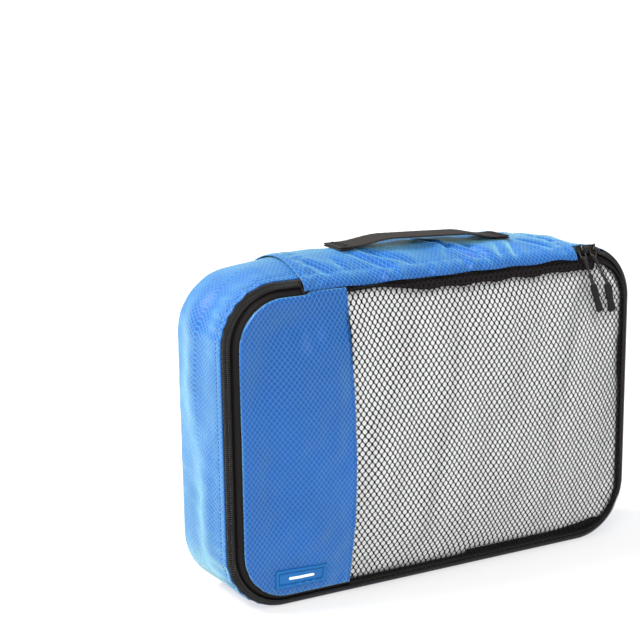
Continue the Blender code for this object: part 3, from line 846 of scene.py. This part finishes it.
def band_surface(x, z):
    """The y of the fabric band's outer face."""
    depth, along = inside_by(x, z)
    edge = depth - LID_INSET
    to_seam = WINDOW_X + 0.0008 - x
    y = lid_face(x, z) - 0.0006
    y = y + rolled_edge(edge, 0.0009) + rolled_edge(to_seam, 0.0007)
    y = y - 0.00045 * near(edge, 0.0030, 0.0040)
    y = y + 0.00022 * hump(edge, 0.0024, 0.0006) * (1 - 0.5 * stitch_wave(along))
    y = y + 0.00020 * hump(to_seam, 0.0022, 0.0006)
    place = joined(x, z)
    y = y + 0.0013 * ripples(place * (1.3, 0.7), 0.070, 33) * smooth(edge, 0.004, 0.022)
    for ox, oz, wide, tall, deep in BAND_DENTS:
        y = y + deep * hump(x, ox, wide) * hump(z, oz, tall)
    puckers = np.sin(TURN * x / 0.0085 + 3 * np.sin(x * 160)) * near(z, 0.0135, 0.012)
    y = y - 0.00050 * puckers * smooth(edge, 0.0005, 0.003)
    return y


def make_band():
    first, last = -HALF_WIDTH + LID_INSET, WINDOW_X + 0.0008
    x = graded(first, last, FINE, 0.0013)[:, None]
    tall = 0.21
    share = graded(0, 1, 0.00045 / tall, 0.0016 / tall)
    z = MIDDLE_Z + edge_height(x, LID_INSET) * (2 * share - 1)
    depth, along = inside_by(x, z)
    wave = 0.00018 * stitch_wave(along) * (1 - smooth(depth - LID_INSET, 0, 0.003))
    front = joined(x + wave * (x < -0.13), band_surface(x, z), lid_rise(x, z) + wave * 0.6)
    thick = CLOTH + 0.0004 * near(depth - LID_INSET, 0.002, 0.005)
    back = front + joined(0, thick, 0)
    piece = shell("lid_band_fabric", front, back, RIPSTOP, joined(x, z))
    finish_piece(piece, "lid", "ripstop", "lid_side_panel")
    zs = np.arange(0.0125, 0.2215, STITCH)
    xs = np.full_like(zs, WINDOW_X - 0.0014)
    path = joined(xs, band_surface(xs, zs), zs)
    finish_piece(stitches("window_seam_stitches", path, (0, -1, 0), BLUE_THREAD), "lid", "ripstop")


def net_height(x, z):
    """The y of the middle of the net: it dips behind the band and behind its hem."""
    under = 1 - smooth(x, WINDOW_X - 0.0005, WINDOW_X + 0.0030)
    edge = inside_by(x, z)[0] - LID_INSET
    return lid_face(x, z) + 0.0011 * under + 0.0009 * (1 - smooth(edge, 0.0005, 0.0035))


def net_pull(x, z):
    """The knit is stretched a little unevenly, so its columns wander."""
    dx = 0.0011 * np.sin(z / 0.031 + 2.2 * x / 0.1) + 0.0006 * np.sin(z / 0.012 + x / 0.045)
    dz = 0.0012 * np.sin(x / 0.028 + z / 0.06) + 0.0005 * np.sin(x / 0.011)
    hold = smooth(inside_by(x, z)[0], LID_INSET, LID_INSET + 0.02) * smooth(x, WINDOW_X, WINDOW_X + 0.02)
    return x + dx * hold, z + dz * hold


def make_net():
    """A knitted net: every cell is a diamond of yarn round one rounded hole."""
    wide, tall = NET_WIDE / 2, NET_TALL / 2
    columns = range(math.floor((WINDOW_X - 0.004) / wide), math.ceil(HALF_WIDTH / wide))
    rows = range(0, math.ceil(HEIGHT / tall))
    middles = np.array([(i * wide, k * tall) for i in columns for k in rows if (i + k) % 2 == 0])
    depth = inside_by(*middles.T)[0]
    keep = (depth > LID_INSET + 0.0006) & (middles[:, 0] > WINDOW_X - 0.001)
    middles = middles[keep & (middles[:, 1] < HEIGHT - LID_INSET)]

    corners = np.array([(wide, 0), (0, tall), (-wide, 0), (0, -tall)])
    rim = []
    for a, b in zip(corners, np.roll(corners, -1, 0)):
        rim += [a + (b - a) * share for share in (0, 1 / 3, 2 / 3)]
    rim = np.array(rim)
    angle = np.arctan2(rim[:, 1] / tall, rim[:, 0] / wide)
    power = 1.62
    reach = (np.abs(np.cos(angle)) ** power + np.abs(np.sin(angle)) ** power) ** (-1 / power)
    hole = joined(0.00157 * reach * np.cos(angle), 0.00189 * reach * np.sin(angle))
    size = len(rim)

    outer = (middles[:, None] + rim[None]).reshape(-1, 2)
    _, first, shared = np.unique(np.round(outer, 6), axis=0, return_index=True, return_inverse=True)
    outer = outer[first]
    shared = shared.reshape(len(middles), size)
    inner = (middles[:, None] + hole[None]).reshape(-1, 2)
    yarn, knot = 0.00030, 0.00016
    off_knot = np.hypot(*(np.mod(outer / (wide, tall) + 0.5, 1) - 0.5).T)
    thick = yarn + knot * (1 - smooth(off_knot, 0.0, 0.4))

    def lifted_to(flat, out):
        x, z = net_pull(flat[:, 0], flat[:, 1])
        return joined(x, net_height(x, z) + out, lid_rise(x, z))

    points = [lifted_to(outer, -thick), lifted_to(outer, thick), lifted_to(inner, 0)]
    total = len(outer)
    index = np.arange(len(inner)).reshape(len(middles), size) + 2 * total
    nxt, nxt_in = np.roll(shared, -1, 1), np.roll(index, -1, 1)
    near_side = joined(shared, nxt, nxt_in, index).reshape(-1, 4)
    far_side = joined(index, nxt_in, nxt, shared).reshape(-1, 4)
    far_side = np.where(far_side < total, far_side + total, far_side)
    faces = np.concatenate([near_side, far_side]).tolist()
    flat = np.concatenate([outer, outer, inner])
    piece = add_mesh("mesh_window_net", np.concatenate(points), faces, NET, flat)
    # The net's outermost yarns stay open, so its winding is set from one near face.
    if piece.data.polygons[0].normal.y > 0:
        piece.data.flip_normals()
    finish_piece(piece, "lid", "mesh", "mesh_window")


def make_mesh_hem():
    """The net's top edge, doubled over: a wavy black strip under the top gusset."""
    xs = steps(WINDOW_X + 0.0006, 0.1330, 0.0010)
    low = 0.2172 + 0.0052 * (1 - smooth(xs, -0.060, -0.012))
    low = low + 0.0005 * ripples(xs[:, None], 0.035, 41) + 0.0002 * np.sin(xs / 0.0011)
    share = np.concatenate([[0, 0.02, 0.05, 0.1], np.linspace(0.16, 1, 12)])
    x, brink = xs[:, None], low[:, None]
    z = brink + (0.2231 - brink) * share
    edge = z - brink
    y = lid_face(x, z) - 0.0014 + rolled_edge(edge, 0.0006)
    y = y - 0.0003 * ripples(joined(x, z * 0.3), 0.012, 42)
    y = y + 0.0003 * hump(edge, 0.0018, 0.0007)
    piece = sheet("mesh_top_hem_folded", x, y, y + 0.0011, z, FOLDED_NET)
    finish_piece(piece, "lid", "mesh", "mesh_top_hem")
    row = np.arange(xs[0] + 0.002, xs[-1] - 0.001, STITCH)
    low_row = np.interp(row, xs, low) + 0.0018
    path = joined(row, lid_face(row, low_row) - 0.0014, low_row)
    finish_piece(stitches("mesh_hem_stitches", path, (0, -1, 0), BLACK_THREAD), "lid", "mesh")


def make_window_seam_tape():
    x = np.linspace(WINDOW_X - 0.0045, WINDOW_X + 0.0012, 5)[:, None]
    z = steps(0.0125, HEIGHT - 0.0125, 0.003)
    y = lid_face(x, z) + 0.0022
    piece = sheet("window_seam_tape_inside", x, y, y + 0.0007, z, TAPE)
    finish_piece(piece, "lid", "tape", "window_seam_tape")


def make_label():
    """A moulded patch: a raised frame, a groove with its stitches, and a plain bar."""
    low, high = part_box("label")
    x0, x1, z0, z1 = low.x, high.x, low.z, high.z
    half_x, half_z, round_off = (x1 - x0) / 2, (z1 - z0) / 2, 0.0009
    middle = Vector(((x0 + x1) / 2, 0, (z0 + z1) / 2))

    def depth_in(u, v):
        qx, qz = np.abs(u) - half_x + round_off, np.abs(v) - half_z + round_off
        out = np.hypot(np.maximum(qx, 0), np.maximum(qz, 0))
        return round_off - out - np.minimum(np.maximum(qx, qz), 0)

    def height(u, v):
        e = depth_in(u, v)
        frame_top = 0.00135 - rolled_edge(e, 0.0005)
        groove = between(e, 0.0019, 0.0022, 0.0030, 0.0033)
        inner = smooth(e, 0.0030, 0.0033)
        return frame_top - 0.00085 * groove - 0.00030 * inner

    u = graded(-half_x, half_x, 0.00012, 0.00035)[:, None]
    v = graded(-half_z, half_z, 0.00012, 0.00030)
    pull = np.minimum(depth_in(u, v), 0)            # draws the square corners in
    size = np.maximum(np.hypot(u, v), 1e-6)
    u, v = u + pull * u / size, v + pull * v / size
    x, z = middle.x + u, middle.z + v
    base = band_surface(x, z)
    piece = sheet("label_patch", x, base - np.maximum(height(u, v), 0.0002), base + 0.0002, z, LABEL)
    finish_piece(piece, "lid", "label", "label")

    inset = 0.0026
    run_x, run_z = half_x - inset, half_z - inset
    corners = [(-run_x, -run_z), (run_x, -run_z), (run_x, run_z), (-run_x, run_z)]
    sides = []
    for (au, av), (bu, bv) in zip(corners, corners[1:] + corners[:1]):
        count = round(math.hypot(bu - au, bv - av) / 0.0022)
        uu, vv = np.linspace(au, bu, count + 1), np.linspace(av, bv, count + 1)
        px, pz = middle.x + uu, middle.z + vv
        path = joined(px, band_surface(px, pz) - 0.00062, pz)
        sides.append(stitches("label_side", path, (0, -1, 0), BLUE_THREAD, thick=0.00022))
    finish_piece(merge("label_stitches", sides), "lid", "label")

    long, thin = 0.0098, 0.0011
    u, v = graded(-long, long, 0.00015, 0.0005)[:, None], np.linspace(-1, 1, 9)
    half = np.sqrt(np.maximum(thin**2 - np.maximum(np.abs(u) - long + thin, 0) ** 2, 1e-10))
    x, z = middle.x + u, middle.z + v * half
    rise = 0.00105 + 0.00030 * np.sqrt(np.maximum(1 - v**2, 0)) * np.minimum(half / thin, 1)
    base = band_surface(x, z)
    finish_piece(sheet("label_bar", x, base - rise, base - 0.0006, z, LABEL_MARK), "lid", "label")


# ---- the zipper
COIL_PITCH, COIL_HALF = 0.00144, 0.00155
COIL_OUT, COIL_IN = 0.00295, 0.00570      # the middles of the bag's and the lid's teeth


def band_boxed(*places):
    return [band_point(*place) for place in places]


def coil(name, first, last, middle, offset, body, *nodes):
    """A nylon spiral: flat bars in front, crossing over to the next behind."""
    angle = np.linspace(0, TURN, 10, endpoint=False) + 0.1
    lag = smooth(angle, math.pi, TURN)
    path = []
    for turn in range(math.floor((last - first) / COIL_PITCH)):
        for a, shift in zip(angle, lag):
            across = middle + COIL_HALF * squared(math.cos(a), 0.6)
            place = band_point(across, 0.00105 * squared(math.sin(a), 0.6))
            path.append(outline_point(first + (turn + shift + offset) * COIL_PITCH, *place))
    finish_piece(tube(name, path, 0.00040, COIL, 6), body, "coil", *nodes)


def make_zipper():
    under_lap = CHAIN_END + 0.0065
    along_body = steps(BODY_CHAIN_START, under_lap, 0.0025)
    lid_last = CHAIN_END + 0.0010
    along_lid = steps(CHAIN_START, lid_last, 0.0025)
    along_end = steps(CHAIN_START, END_STRETCH, 0.0015)
    low, high = -0.0021, -0.0014
    outer = band_boxed((0.0007, low), (0.0042, low), (0.0042, high), (0.0007, high))
    inner = band_boxed(
        (0.0046, low), (0.0128, low - 0.0002), (0.0131, high), (0.0126, -0.0008),
        (0.0105, -0.0005), (0.0088, -0.0006), (0.0082, -0.0010), (0.0079, high), (0.0046, high),
    )
    tape("body_zipper_tape_woven", along_body, outer, "bag", "body_zipper_tape")
    tape("lid_zipper_tape_woven", along_lid, inner, "lid", "lid_zipper_tape")
    tape("zipper_end_tape", along_end, outer, "lid", "zipper_end_stretch")
    coil("body_zipper_coil_teeth", BODY_CHAIN_START, under_lap, COIL_OUT, 0.0, "bag", "body_zipper_coil")
    coil("lid_zipper_coil_teeth", CHAIN_START, lid_last, COIL_IN, 0.5, "lid", "lid_zipper_coil")
    stop = band_boxed((0.0007, -0.0040), (0.0165, -0.0048), (0.0165, -0.0041), (0.0007, -0.0033))
    tape("zipper_end_backing", steps(CHAIN_END - 0.004, under_lap, 0.0015), stop, "bag")
    low_edge = [(0.0006, -0.0303), (0.0012, -0.0303), (0.0034, -0.0240), (0.0028, -0.0240)]
    tape("zipper_end_underlay", steps(CHAIN_START, NOTCH_END + 0.003, 0.0015), low_edge, "lid")
    coil("zipper_end_coil_teeth", CHAIN_START, END_STRETCH, COIL_OUT, 0.0, "lid")


def along_bottom(d):
    corner_end = STRAIGHT_X + 2 * ARC + STRAIGHT_Z
    return smooth(d, corner_end - 0.020, corner_end + 0.010)


def face_at(d, inward):
    x, z, in_x, in_z = outline_at(d)
    return float(lid_face(x + inward * in_x, z + inward * in_z))


def window_edge_reach(d):
    """How wide the black edge tape lies over the net, by the distance along."""
    right = near(d, STRAIGHT_X + ARC + 0.060, 0.075)
    return 0.0114 + 0.0012 * right - 0.0016 * along_bottom(d)


def make_window_edge_tape():
    """The smooth tape that holds the net's edge, lying on the net."""
    bottom_end = STRAIGHT_X + 2 * ARC + STRAIGHT_Z + (STRAIGHT_X - WINDOW_X)
    distances = steps(CHAIN_START, bottom_end - 0.001, 0.0025)

    def ring(d):
        reach = window_edge_reach(d) + 0.0002 * math.sin(d / 0.0045)
        tops = []
        shift = 0.0014 * float(along_bottom(d))
        for n, proud in ((0.0092, 0.0), (0.0100, 0.0005), (0.0108, 0.0009), (reach + shift, 0.0008)):
            m = n - shift
            tops.append((m, face_at(d, m) - proud if n > 0.0095 else -0.0390))
        unders = [(n, y + 0.0006) for n, y in tops]
        return tops + unders[::-1]

    tape("window_edge_tape", distances, ring, "lid")


def make_bindings():
    """Black tapes over the raw edges inside the seams; two show through the net."""
    ring = [(0.0016, 0.0340), (0.0060, 0.0340), (0.0060, 0.0349), (0.0016, 0.0349)]
    tape("rear_binding", steps(0, END - 0.003, 0.003), ring, "bag", "rear_seam_binding",
         shape=lambda d, n, y: (n + corner_tuck(d), y), closed=True)
    ring = [(0.0016, -0.0275), (0.0028, -0.0275), (0.0028, -0.0200), (0.0016, -0.0200)]
    first = STRAIGHT_X + CORNER_R * math.radians(32)
    tape("front_binding", steps(first, SIDE_END, 0.003), ring, "bag", "front_seam_binding")

    bottom_right = STRAIGHT_X + ARC + STRAIGHT_Z + ARC

    def lid_ring(d):
        past = d - bottom_right
        wedge = 0.0045 * between(past, -0.030, -0.010, 0.110, 0.114)
        wedge = wedge + 0.0022 * near(past, 0, 0.030) - 0.0022 * along_bottom(d)
        side = between(d - STRAIGHT_X - ARC, 0.022, 0.032, 0.058, 0.064)
        reach = float(0.0122 + wedge + 0.0026 * side)
        y_in = face_at(d, reach) + 0.0016
        return [(0.0104, -0.0372), (reach, y_in), (reach, y_in + 0.0007), (0.0104, -0.0365)]

    along_lid = steps(CHAIN_START, CHAIN_END + 0.004, 0.0025)
    tape("lid_binding", along_lid, lid_ring, "lid", "lid_seam_binding")


def make_hinge_seam():
    """The lid is sewn to the top gusset here: a black strip along the seam."""
    x = steps(LAP_LEFT - 0.001, LAP_RIGHT - 0.002, 0.003)[:, None]
    turns = ((-0.0340, 0.2288), (-0.0356, 0.2274), (-0.0370, 0.2260), (-0.0380, 0.2250),
             (-0.0386, 0.2242), (-0.0388, 0.2234), (-0.0390, 0.2226))
    y, z = np.array(turns).T
    piece = sheet("hinge_seam_tape", x, y, y + 0.0006, z, TAPE)
    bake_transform(piece)


# ---- the stuffing
def make_stuffing():
    """A soft white block that fills the cube, seen through the net."""
    wide, middle_z, half_tall = 0.1722, 0.1157, 0.1128
    round_r = 0.042
    x = graded(-wide, wide, 0.0008, 0.0040)[:, None]
    past = np.maximum(np.abs(x) - wide + round_r, 0)
    half = half_tall - round_r + np.sqrt(np.maximum(round_r**2 - past**2, 1e-8))
    share = (1 - np.cos(math.pi * np.linspace(0, 1, 55))) / 2
    z = middle_z + half * (2 * share - 1)
    edge = np.minimum(half - np.abs(z - middle_z), wide - np.abs(x))
    round_off = rolled_edge(np.maximum(edge, 0), 0.008)
    place = joined(x, z)
    inside = smooth(edge, 0.002, 0.03)
    folds = 0.0022 * np.sin(x * 118 + 2.2 * np.sin(z * 22)) * smooth(z, 0.05, 0.12)
    folds = folds + 0.0016 * ripples(place * (1, 0.35), 0.030, 52) + 0.0007 * ripples(place, 0.014, 53)
    y = LID_FACE - bulge(x, z, LID_INSET, LID_BULGE) + 0.0046 + round_off
    behind_zipper = -0.0250 - 0.9 * inside_by(x, z)[0]
    y = np.maximum(np.maximum(y + folds * inside, lid_face(x, z) + 0.0026), behind_zipper)
    y = np.where(x < WINDOW_X + 0.004, np.maximum(y, band_surface(x, z) + 0.0028), y)
    rear = 0.0335 + 0.55 * bulge(x, z, 0.0004, BACK_BULGE) - round_off
    piece = sheet("stuffing", x, y, np.maximum(rear, y + 0.012), z, STUFFING)
    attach(piece, "bag")


# ---- the handle
def handle_rise(x):
    first, last = HANDLE_FIRST + 0.0105, HANDLE_LAST - 0.0105
    return between(x, first, HANDLE_FIRST + 0.046, HANDLE_LAST - 0.040, last)


def handle_line():
    """The x, z, up x and up z of the strap's stations, left end to right end."""
    x = graded(HANDLE_FIRST, HANDLE_LAST, FINE, 0.0016)
    level = np.clip(x, HANDLE_FIRST, HANDLE_LAST - 0.0105)
    base = HEIGHT + 0.0015 + TOP_CROWN * crown_share(level) + 0.0014
    z = base + 0.0040 * handle_rise(x)
    slope = np.gradient(z, x)
    size = np.hypot(1, slope)
    return x, z, -slope / size, 1 / size


def strap(name, line, thick, low):
    """A webbing strip with rounded edges, from low above a line to thick above that."""
    x, z, up_x, up_z = line
    sides = 44
    across = np.linspace(0, TURN, sides, endpoint=False)
    flat, tall = squared(np.cos(across), 0.22), squared(np.sin(across), 0.55)
    half = HANDLE_WIDE / 2
    end = np.minimum(x - x[0], x[-1] - x)
    taper = 1 - 0.5 * rolled_edge(end, thick / 2) / (thick / 2)
    selvage = np.abs(flat) > 0.93
    out = low + thick / 2 + thick / 2 * tall[None, :] * taper[:, None]
    out = out + 0.00008 * selvage * np.sin(x / 0.00035)[:, None]
    y = HANDLE_Y + half * flat[None, :] + 0.00022 * np.sin(x / 0.008)[:, None]
    points = joined(x[:, None] + up_x[:, None] * out, y, z[:, None] + up_z[:, None] * out)
    uv = joined(run_along(x, z)[:, None], half * flat)
    return add_mesh(name, points, ring_faces(len(x), sides), WEBBING, uv)


def make_handle():
    line = handle_line()
    x, z = line[:2]
    pieces = [strap("strap", line, 0.0015, 0.0)]
    for first, last in ((HANDLE_FIRST, HANDLE_FIRST + 0.0110), (HANDLE_LAST - 0.0110, HANDLE_LAST)):
        picks = graded(first, last, FINE, 0.0012)
        fold = [picks] + [np.interp(picks, x, values) for values in line[1:]]
        pieces.append(strap("fold", fold, 0.0013, -0.0013))
    finish_piece(merge("carry_handle_webbing", pieces), "bag", "webbing", "carry_handle")
    for side, middle in (("left", HANDLE_FIRST + 0.0055), ("right", HANDLE_LAST - 0.0055)):
        top = float(np.interp(middle, x, z)) + 0.0015
        half_x, half_y = 0.0036, 0.0096
        rows = []
        for place in (middle - half_x, middle + half_x):
            ys = np.linspace(HANDLE_Y - half_y, HANDLE_Y + half_y, 9)
            path = joined(np.full_like(ys, place), ys, np.full_like(ys, top))
            rows.append(stitches("row", path, (0, 0, 1), BLACK_THREAD, length=0.8))
        count = 26
        ys = np.linspace(HANDLE_Y - half_y, HANDLE_Y + half_y, count)
        xs = middle + 0.0019 * np.where(np.arange(count) % 2, 1, -1)
        path = joined(xs, ys, np.full_like(ys, top + 0.0001))
        rows.append(stitches("zigzag", path, (0, 0, 1), BLACK_THREAD, length=1.0))
        finish_piece(merge(f"{side}_bartack_stitches", rows), "bag", "webbing", f"{side}_handle_bartack")


# ---- sliders and pulls
TAB_LENGTH, TAB_LIFT, PIN_OUT = 0.0118, math.radians(10), 0.0036
SLIDERS = (                # side, distance along the outline, swivel of its crown in degrees
    ("left", 0.1246, 75),
    ("right", STRAIGHT_X + CORNER_R * math.radians(7), 62),
)
PULLS = (                  # side, grip's top, its lower end, its width
    ("left", (0.1284, -0.0462, 0.2068), (0.1352, -0.0478, 0.1850), 0.0060),
    ("right", (0.1428, -0.0460, 0.2052), (0.1468, -0.0476, 0.1838), 0.0068),
)


def slider_frame(distance):
    """x along the chain, y across it toward the lid, z out of the band."""
    in_x, in_z = outline_at(distance)[2:]
    across = Vector((RUN * in_x, -RISE, RUN * in_z))
    out = Vector((-RISE * in_x, -RUN, -RISE * in_z))
    turned = Matrix((across.cross(out), across, out)).transposed().to_4x4()
    return Matrix.Translation(outline_point(distance, *band_point(0.0043, 0.0))) @ turned


def superellipse(half_x, half_y, power, count):
    angle = np.linspace(0, TURN, count, endpoint=False)
    return half_x * squared(np.cos(angle), 2 / power), half_y * squared(np.sin(angle), 2 / power)


def lofted(name, rings, skin, frame_of, closed=False):
    """Rings of points, in the frame's own axes, joined into one skin."""
    turned, place = np.array(frame_of.to_3x3()), np.array(frame_of.translation)
    points = np.concatenate(rings) @ turned.T + place
    return add_mesh(name, points, ring_faces(len(rings), len(rings[0]), closed), skin)


def plate(name, frame_of, middle, half, low, high, edge, power=4.0):
    """A metal block with superellipse sides and rounded rims."""
    turns = np.linspace(0, math.pi / 2, 4)
    rims = [(1 - math.sin(t), low + edge * (1 - math.cos(t))) for t in turns]
    rims += [(1 - math.cos(t), high - edge * (1 - math.sin(t))) for t in turns]
    rings = []
    for share, z in rims:
        x, y = superellipse(half[0] - edge * share, half[1] - edge * share, power, 40)
        rings.append(joined(middle[0] + x, middle[1] + y, z))
    return lofted(name, rings, METAL, frame_of)


def make_slider(side, distance, swivel):
    """A cast body: two shields joined by a wedge, and a crown that holds the tab."""
    at = slider_frame(distance)
    long = 0.0042
    parts = [
        plate("top", at, (0, 0), (long, 0.0037), 0.0014, 0.0027, 0.0004, 3.2),
        plate("low", at, (0, 0), (long - 0.0003, 0.0030), -0.0033, -0.0025, 0.0003, 3.2),
        plate("wedge", at, (0.0022, 0), (0.0016, 0.0005), -0.0027, 0.0016, 0.0002, 2.5),
    ]
    for y in (-0.0034, 0.0034):
        parts.append(plate("flange", at, (0, y), (long - 0.0008, 0.0004), 0.0006, 0.0020, 0.0002))
    turned = at @ Matrix.Rotation(math.radians(swivel), 4, "Z")
    arch = []
    for t in np.linspace(0, math.pi, 15):
        x, z = -0.0029 * squared(math.cos(t), 0.55), 0.0021 + 0.0032 * abs(math.sin(t)) ** 0.6
        arch.append(turned @ Vector((x, 0, z)))
    parts.append(tube("crown", arch, 0.00075, METAL, 14))
    cast = merge(f"{side}_slider_cast", parts)
    finish_piece(cast, f"{side}_slider_body", "slider_metal", f"{side}_slider")
    return turned


def make_tab(side, turned):
    """The tab that hangs in the crown: a flat ring of metal with one long hole."""
    lift = turned @ Matrix.Translation((0, 0, PIN_OUT)) @ Matrix.Rotation(-TAB_LIFT, 4, "Y")
    first, last = -0.0006, TAB_LENGTH
    middle, half, thick, edge = (first + last) / 2, (last - first) / 2, 0.0006, 0.00025
    outer, inner, slope = (half, 0.0029), (half - 0.0012, 0.0019), 0.3 * edge
    rings = []
    for (half_x, half_y), grown, z in (
        (outer, -edge, thick), (outer, -slope, thick - slope), (outer, 0, thick - edge),
        (outer, 0, edge - thick), (outer, -slope, slope - thick), (outer, -edge, -thick),
        (inner, edge, -thick), (inner, 0, edge - thick),
        (inner, 0, thick - edge), (inner, edge, thick),
    ):
        x, y = superellipse(half_x + grown, half_y + grown, 4.0, 56)
        rings.append(joined(middle + x, y, z))
    tab = lofted(f"{side}_pull_tab_ring", rings, METAL, lift, closed=True)
    finish_piece(tab, f"{side}_tab_body", "slider_metal", f"{side}_pull_tab")
    return lift @ Vector((TAB_LENGTH - 0.0006, 0, 0))


def make_pull(side, eye, grip_top, grip_low, wide):
    """A cord loop through the tab's end, and the moulded grip that holds its tails."""
    eye, grip_top, grip_low = Vector(eye), Vector(grip_top), Vector(grip_low)
    way, length = (grip_low - grip_top).normalized(), (grip_low - grip_top).length
    down, drop = (grip_top - eye).normalized(), (grip_top - eye).length
    out = Vector((0, -1, 0))
    out = (out - way * out.dot(way)).normalized()
    sideways = way.cross(out)
    loop, spread = 0.0012, 0.00085
    front, hook, rear = [], [], []
    for t in np.linspace(0, math.pi, 13):
        hook.append(eye - down * 0.0004 + down * (-0.0010 * math.sin(t)) + out * (loop * math.cos(t)))
    for share in np.linspace(0.1, 1.15, 12):
        ease = float(smooth(share, 0, 1))
        centre = eye + down * drop * share + out * 0.0003
        front.append(centre + out * loop * (1 - ease) + sideways * spread * ease)
        rear.append(centre - out * loop * (1 - ease) - sideways * spread * ease)
    cord = tube(f"{side}_pull_cord_loop", front[::-1] + hook + rear, 0.00074, BRAID, 12)
    finish_piece(cord, f"{side}_pull_body", "webbing", f"{side}_pull_cord")

    frame_of = Matrix.Translation(grip_top) @ Matrix((way, sideways, out)).transposed().to_4x4()
    round_end = 0.0022
    stations = [np.linspace(0, round_end, 8), np.linspace(0.0026, length - round_end, 44),
                np.linspace(length - 0.0018, length, 8)]
    rings = []
    for s in np.concatenate(stations):
        end = math.sqrt(max(1 - max(1 - min(s, length - s) / round_end, 0) ** 2, 0.02))
        share = s / length
        neck = 0.72 + 0.28 * smooth(share, 0.0, 0.16) - 0.20 * near(share, 0.56, 0.30)
        ridged = between(share, 0.30, 0.42, 0.86, 0.95)
        half_wide = wide / 2 * neck * (0.55 + 0.45 * end)
        half_thick = 0.0014 * (0.5 + 0.5 * end) + 0.00016 * math.cos(TURN * s / 0.0021) * ridged
        y, z = superellipse(half_wide, half_thick, 3.0, 36)
        rings.append(joined(s, y, z))
    grip = lofted(f"{side}_pull_grip_moulded", rings, GRIP, frame_of)
    finish_piece(grip, f"{side}_pull_body", "grip", f"{side}_pull_grip")


def make_floor():
    """A white floor, level with the bottom of the bag, for the look of the photograph."""
    skin = Shader("studio_floor", (0.3, 0.3, 0.3), 0.9, Emission_Strength=0.62,
                  Emission_Color=(1, 1, 1, 1))
    size, drop = 30.0, 0.0004
    mesh = bpy.data.meshes.new("floor")
    corners = [(x * size, y * size, -drop) for x, y in ((-1, -1), (1, -1), (1, 1), (-1, 1))]
    mesh.from_pydata(corners, [], [(0, 1, 2, 3)])
    mesh.materials.append(skin.made)
    floor = bpy.data.objects.new("floor", mesh)
    bpy.context.scene.collection.objects.link(floor)


def main():
    make_side_gusset()
    make_top_gusset()
    make_back_panel()
    make_band()
    make_net()
    make_mesh_hem()
    make_window_seam_tape()
    make_window_edge_tape()
    make_label()
    make_zipper()
    make_bindings()
    make_hinge_seam()
    make_stuffing()
    make_handle()
    crowns = [(side, make_slider(side, along, swivel)) for side, along, swivel in SLIDERS]
    eyes = [make_tab(side, crown_frame) for side, crown_frame in crowns]
    for (side, *shape), eye in zip(PULLS, eyes):
        make_pull(side, eye, *shape)
    make_floor()
    add_camera()
    add_light()


main()
